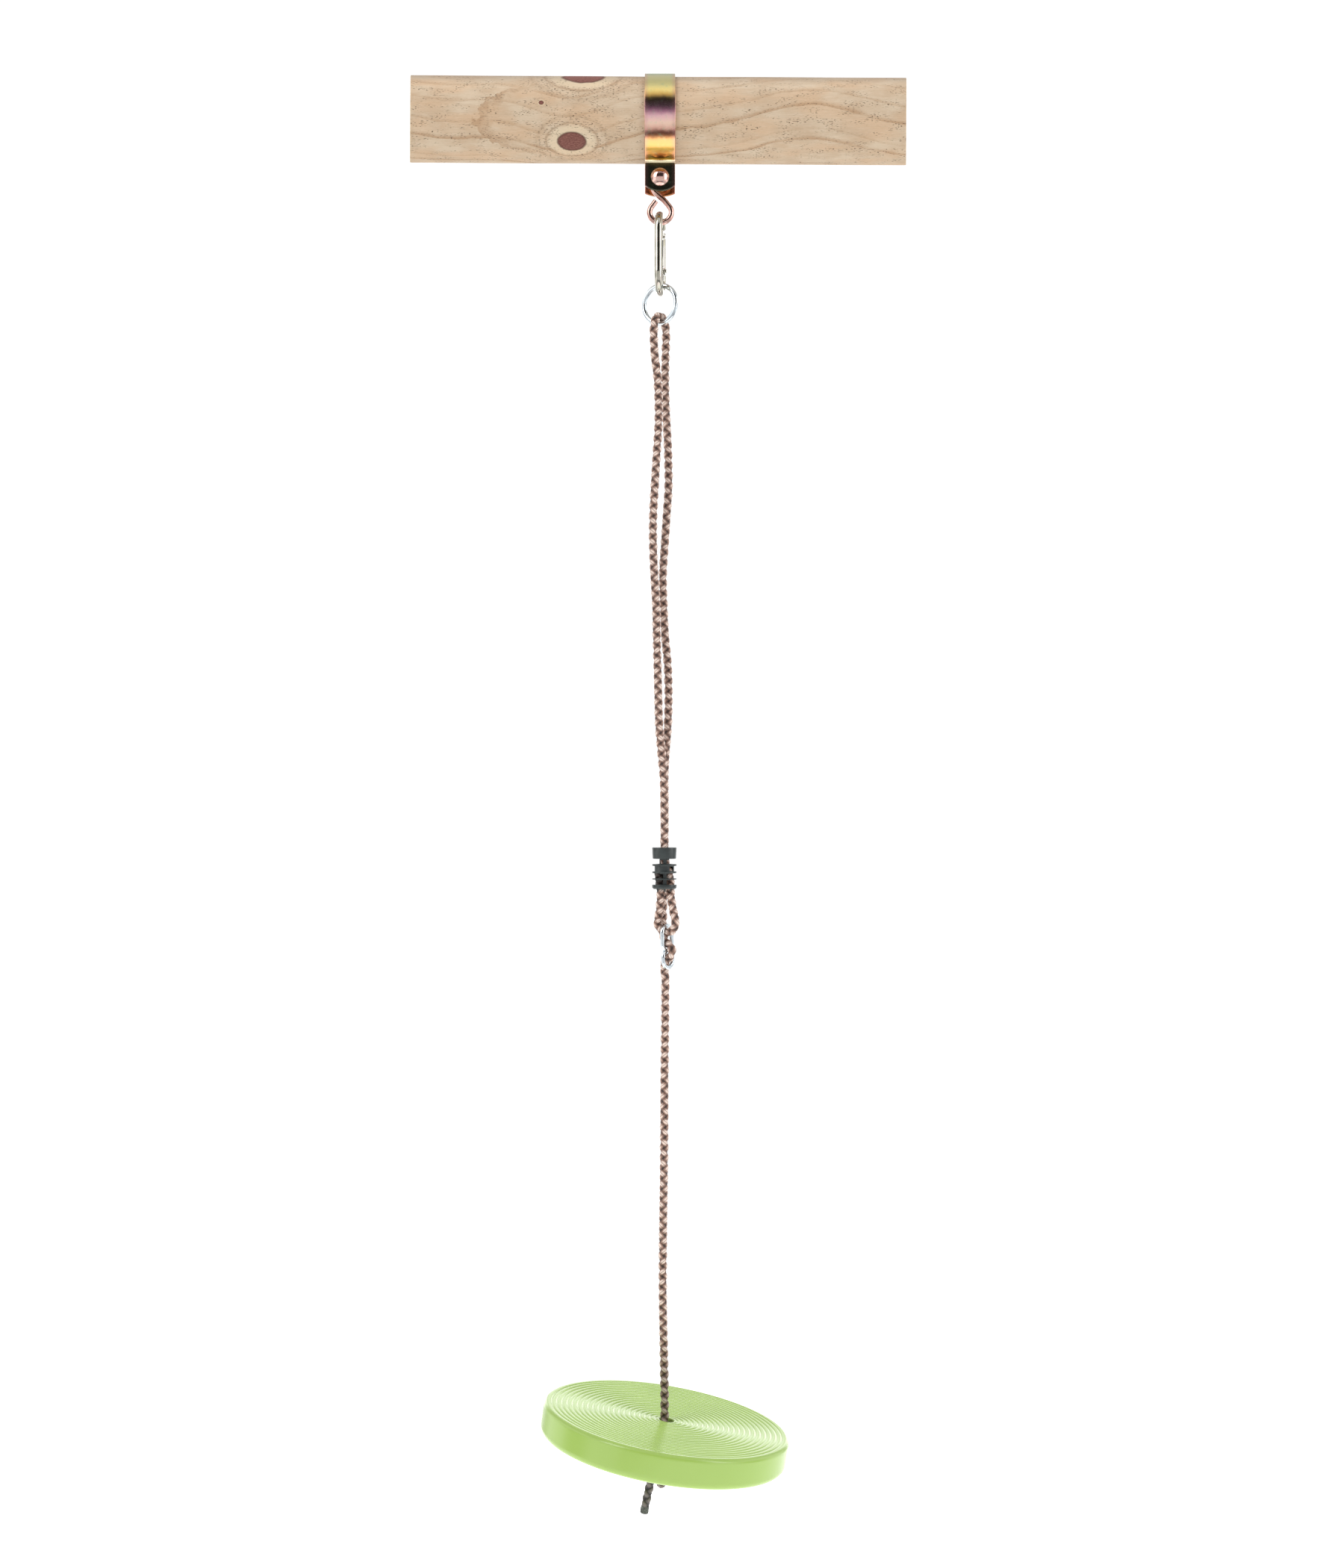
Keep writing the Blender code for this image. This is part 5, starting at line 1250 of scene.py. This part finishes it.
strand_a = [(xa, -ya, z) for z, xa, xb, ya, yb in reversed(STRANDS)]
strand_b = [(xb, yb, z) for z, xa, xb, ya, yb in STRANDS]
route = catmull(eye_path + strand_a + arch_path + strand_b + pass_path + lower_path, 1.0)
STEP = float(np.linalg.norm(np.diff(route, axis=0), axis=1).mean())
RUN_END = STEP * (len(route) - 1)
TOP_RUN = int(route[:, 2].argmax()) * STEP


def run_at(height, after, before=1e9):
    for k in range(1, len(route)):
        run = k * STEP
        if after <= run <= before and (route[k - 1][2] - height) * (route[k][2] - height) <= 0:
            return run
    raise ValueError(f"the route doesn't cross {height}")


INTO_A = run_at(CLAMP_TOP - 11.0, 120, TOP_RUN)
B_EIGHT = run_at(clamp_low - 6.0, TOP_RUN + 300)
EIGHT_LOWER = run_at(-983.0, TOP_RUN + 600)

PITCH = 23.6
STRAND_R0, STRAND_DR = 2.75, 1.05
STRAND_HALF_W, STRAND_HALF_T = 3.25, 1.55


def braid(name, line, line_step, start, stop, phase=0.0, twist=0.012, grey=None, shade=None, size=1.0, ring_step=1.15, sides=18, taper=None):
    """Four strands plaited round the line from one run to another, in step with the same line's other pieces."""
    tangent, normal, side = frames_along(line)
    runs = np.linspace(start, stop, max(8, round((stop - start) / ring_step)) + 1)
    index = np.clip(runs / line_step, 0, len(line) - 1.001)
    low = index.astype(int)
    share = (index - low)[:, None]

    def at(values):
        return values[low] * (1 - share) + values[low + 1] * share

    centre, t0, n0, s0 = at(line), at(tangent), at(normal), at(side)
    t0 /= np.linalg.norm(t0, axis=1)[:, None]
    size_here = np.full(len(runs), size) if taper is None else np.array([taper(r) for r in runs]) * size
    wobble = 0.16 * np.sin(runs / 31.0) + 0.11 * np.sin(runs / 17.0 + 1.0)
    verts, faces, fibre, depth = [], [], [], []
    base = 0
    greys = np.zeros(len(runs)) if grey is None else np.array([grey(r) for r in runs])
    shades = np.zeros(len(runs)) if shade is None else np.array([shade(r) for r in runs])
    for direction in (1, -1):
        for which in (0, 1):
            slack = 1.0 + 0.07 * np.sin(runs / 41.0 + 2.1 * which + direction)
            angle = phase + twist * runs + wobble + direction * 2 * pi * runs / PITCH + pi * which
            radius = (STRAND_R0 + direction * STRAND_DR * np.cos(4 * pi * runs / PITCH)) * size_here
            out = np.cos(angle)[:, None] * n0 + np.sin(angle)[:, None] * s0
            path = centre + out * radius[:, None]
            along = np.gradient(path, axis=0)
            along /= np.linalg.norm(along, axis=1)[:, None]
            up = out - along * (out * along).sum(1)[:, None]
            up /= np.linalg.norm(up, axis=1)[:, None]
            over = np.cross(along, up)
            ring = np.arange(sides) * 2 * pi / sides
            cx = np.sign(np.cos(ring)) * np.abs(np.cos(ring)) ** 0.85 * STRAND_HALF_W
            cy = np.sign(np.sin(ring)) * np.abs(np.sin(ring)) ** 0.9 * STRAND_HALF_T
            groove = 0.52 * np.exp(-((cx / 0.50) ** 2)) * (cy > 0)
            cy = cy - groove
            wide = (cx[None, :] * slack[:, None]) * size_here[:, None]
            tall = cy[None, :] * size_here[:, None]
            # the strand's flanks follow the rope's round outside
            drop = wide**2 / (2 * 4.6) * 0.85
            pts = path[:, None, :] + over[:, None, :] * wide[:, :, None] + up[:, None, :] * (tall - drop)[:, :, None]
            off = pts - centre[:, None, :]
            off = off - t0[:, None, :] * (off * t0[:, None, :]).sum(2)[:, :, None]
            high = np.linalg.norm(off, axis=2) / (5.25 * size_here[:, None])
            verts.append(pts.reshape(-1, 3))
            depth.append(np.stack([high, np.repeat(greys[:, None], sides, 1), np.repeat(shades[:, None], sides, 1)], axis=2).reshape(-1, 3))
            fibre.append(np.stack([np.repeat(cx[None, :], len(runs), 0), np.repeat(runs[:, None], sides, 1), np.full((len(runs), sides), float(which + direction + 1))], axis=2).reshape(-1, 3))
            for k in range(len(runs) - 1):
                a, b = base + k * sides, base + (k + 1) * sides
                for j in range(sides):
                    i = (j + 1) % sides
                    faces.append((a + j, a + i, b + i, b + j))
            faces.append(tuple(base + j for j in range(sides - 1, -1, -1)))
            faces.append(tuple(base + (len(runs) - 1) * sides + j for j in range(sides)))
            base += len(runs) * sides
    obj = mesh_from(name, np.concatenate(verts), faces, ROPE, {"fibre": np.concatenate(fibre), "depth": np.concatenate(depth)}, sharp=70)
    return obj, [tuple(p * MM) for p in resample(centre, 3.0)]


def low_grey(run):
    """The rope darkens and turns grey towards the seat."""
    t = max(0.0, min(1.0, (run - (RUN_END - 150)) / 110))
    return 0.55 * t * t * (3 - 2 * t)


PHASE = 0.6
eye_rope, eye_line = braid("rope_eye", route, STEP, 0.0, INTO_A, phase=PHASE, shade=lambda r: max(0.0, min(0.9, (26.0 - r) / 6.0)))
placed(eye_rope, "adjuster", "rope_fixed_eye", slot="rope")
top_rope, top_line = braid("rope_loop", route, STEP, INTO_A, B_EIGHT, phase=PHASE)
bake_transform(top_rope)
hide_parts("rope_strand_a", "rope_bight", "rope_strand_b")
pass_rope, pass_line = braid("rope_pass", route, STEP, B_EIGHT, EIGHT_LOWER, phase=PHASE)
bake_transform(pass_rope)
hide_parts("rope_through_eight")
seat_rope, seat_line = braid("rope_to_seat", route, STEP, EIGHT_LOWER, RUN_END, phase=PHASE, grey=low_grey)
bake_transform(seat_rope)
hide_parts("lower_rope")


# ================================================================ seat
def make_seat():
    R, T = SEAT_D / 2, SEAT_T / 2
    hole = SEAT_HOLE_D / 2
    DISH = 2.2
    RIDGES, R_IN, R_OUT, RISE = 20, 12.5, 133.5, 1.0
    pitch = (R_OUT - R_IN) / RIDGES
    profile = [(hole, -T + 1.5), (hole, 0.0), (hole, T - DISH - 1.2)]
    for k in range(1, 6):
        a = pi / 2 * k / 5
        profile.append((hole + 1.2 - 1.2 * cos(a), T - DISH - 1.2 + 1.2 * sin(a)))

    def dish(r):
        t = max(0.0, min(1.0, (r - hole) / (R_OUT - hole)))
        return T - DISH * (1 - t)

    r = hole + 1.6
    while r < R_IN:
        profile.append((r, dish(r)))
        r += 0.9
    count = RIDGES * 14
    for k in range(count + 1):
        r = R_IN + (R_OUT - R_IN) * k / count
        u = (r - R_IN) / pitch % 1.0
        if k == count:
            u = 0.0
        lift = (1 - abs(2 * u - 1) ** 2.4) * RISE  # round ridges with sharp valleys between them
        profile.append((r, dish(r) - RISE + lift))
    # rim: a narrow land, then the rounded edge
    profile.append((R_OUT + 0.5, T - 0.35))
    profile.append((R_OUT + 1.3, T - 0.02))
    edge = 5.0
    profile.append((R - edge, T))
    for k in range(1, 11):
        a = pi / 2 * k / 10
        profile.append((R - edge + edge * sin(a), T - edge + edge * cos(a)))
    belly = 0.0
    for k in range(1, 12):
        t = k / 12
        profile.append((R + belly * sin(pi * t), T - edge + (-T + 8.0 - T + edge) * t))
    low_edge = 8.0
    for k in range(0, 13):
        a = pi / 2 * k / 12
        profile.append((R - low_edge + low_edge * cos(a), -T + low_edge - low_edge * sin(a)))
    for k in range(1, 24):
        t = k / 24
        profile.append((R - low_edge + (hole + 2.0 - R + low_edge) * t, -T + 0.5 * sin(pi * t)))
    for k in range(0, 6):
        a = pi / 2 * k / 5
        profile.append((hole + 1.5 - 1.5 * sin(a), -T + 1.5 - 1.5 * cos(a)))
    clean = []
    for p in profile:
        if not clean or abs(p[0] - clean[-1][0]) + abs(p[1] - clean[-1][1]) > 1e-4:
            clean.append(p)
    if abs(clean[0][0] - clean[-1][0]) + abs(clean[0][1] - clean[-1][1]) < 1e-4:
        clean.pop()
    obj = lathe("seat_shell", clean, LIME, 224, closed=True, sharp=None)
    co = np.array([v.co for v in obj.data.vertices])
    radius = np.hypot(co[:, 0], co[:, 1]) * 1000
    layer = obj.data.attributes.new("seat", "FLOAT_VECTOR", "POINT")
    layer.data.foreach_set("vector", np.stack([radius, co[:, 2] * 1000, radius * 0], 1).astype(np.float32).ravel())
    obj.data.transform(Matrix.Translation(Vector(SEAT_C) * MM) @ Matrix.Rotation(SEAT_TILT, 4, "Y"))
    obj.data.update()
    return placed(obj, "seat", "disc_seat", slot="lime_plastic")


make_seat()

# ================================================================ knot, tail and sealed end
TAIL = [(-9.6, 0, -1555.0), (-11.3, 0, -1561.5), (-13.6, 0, -1570.6), (-15.4, 0, -1579.2), (-16.9, 0, -1586.5), (-18.4, 0, -1595.0)]


def make_knot():
    """A stopper knot: down the middle, three wraps up round it, and down again to the tail."""
    pts = [(ROPE_X, 0, KNOT_TOP), (4.4, 0.3, -1529.0), (2.2, 0.8, -1539.0), (-0.6, 1.0, -1551.0)]
    wraps, bottom, top = 2.6, -1559.3, -1530.0
    for k in range(int(wraps * 10) + 1):
        t = k / (wraps * 10)
        a = radians(-60) + 2 * pi * wraps * t
        r = 7.4 + 1.5 * min(1.0, 3.0 * t) - 0.4 * t
        x = -2.4 + 4.6 * t + r * cos(a)
        pts.append((x, 0.96 * r * sin(a), bottom + (top - bottom) * t - 0.10 * r * cos(a)))
    pts += [(-3.4, 1.8, -1530.5), (-4.6, 1.4, -1540.0), (-7.2, 0.8, -1549.0), TAIL[0]]
    line = catmull(pts, 0.7)
    step = float(np.linalg.norm(np.diff(line, axis=0), axis=1).mean())
    return line, step, step * (len(line) - 1)


knot_line, knot_step, knot_run = make_knot()
knot_rope, _ = braid("knot_rope", knot_line, knot_step, 0.0, knot_run, phase=1.0, grey=lambda r: 0.85, size=0.95)
placed(knot_rope, "knot", "seat_knot", slot="rope")
tail_line = catmull(TAIL, 0.5)
tail_step = float(np.linalg.norm(np.diff(tail_line, axis=0), axis=1).mean())
tail_run = tail_step * (len(tail_line) - 1)
tail_rope, _ = braid("tail_rope", tail_line, tail_step, 0.0, tail_run - 8.0, phase=0.4, grey=lambda r: 1.0, size=1.02, twist=0.0)
placed(tail_rope, "knot", "rope_tail", slot="rope")


def make_seal_end():
    """The melted tip: the four strands run together into one smooth plug."""
    start = tail_run - 9.5
    runs = np.linspace(start, tail_run, 26)
    tangent, normal, side = frames_along(tail_line)
    sides = 36
    verts = []
    for r in runs:
        i = min(len(tail_line) - 1, int(round(r / tail_step)))
        share = (r - start) / (tail_run - start)
        left = tail_run - r
        round_off = sqrt(max(0.0, 1 - max(0.0, 1 - left / 1.6) ** 2)) * 0.45 + 0.55 if left < 1.6 else 1.0
        for j in range(sides):
            a = 2 * pi * j / sides
            lobes = 0.30 * (1 - share) * cos(4 * a + r * 0.5) + 0.12 * sin(3 * a + r)
            radius = (4.65 + 0.15 * share + lobes) * round_off
            verts.append(tail_line[i] + radius * (cos(a) * normal[i] + sin(a) * side[i]))
    n = len(runs)
    faces = [(k * sides + j, k * sides + (j + 1) % sides, (k + 1) * sides + (j + 1) % sides, (k + 1) * sides + j) for k in range(n - 1) for j in range(sides)]
    faces.append(tuple(range(sides - 1, -1, -1)))
    faces.append(tuple((n - 1) * sides + j for j in range(sides)))
    obj = mesh_from("sealed_tip", verts, faces, SEAL, sharp=60)
    return placed(obj, "knot", "tail_seal", slot="sealed_end")


make_seal_end()
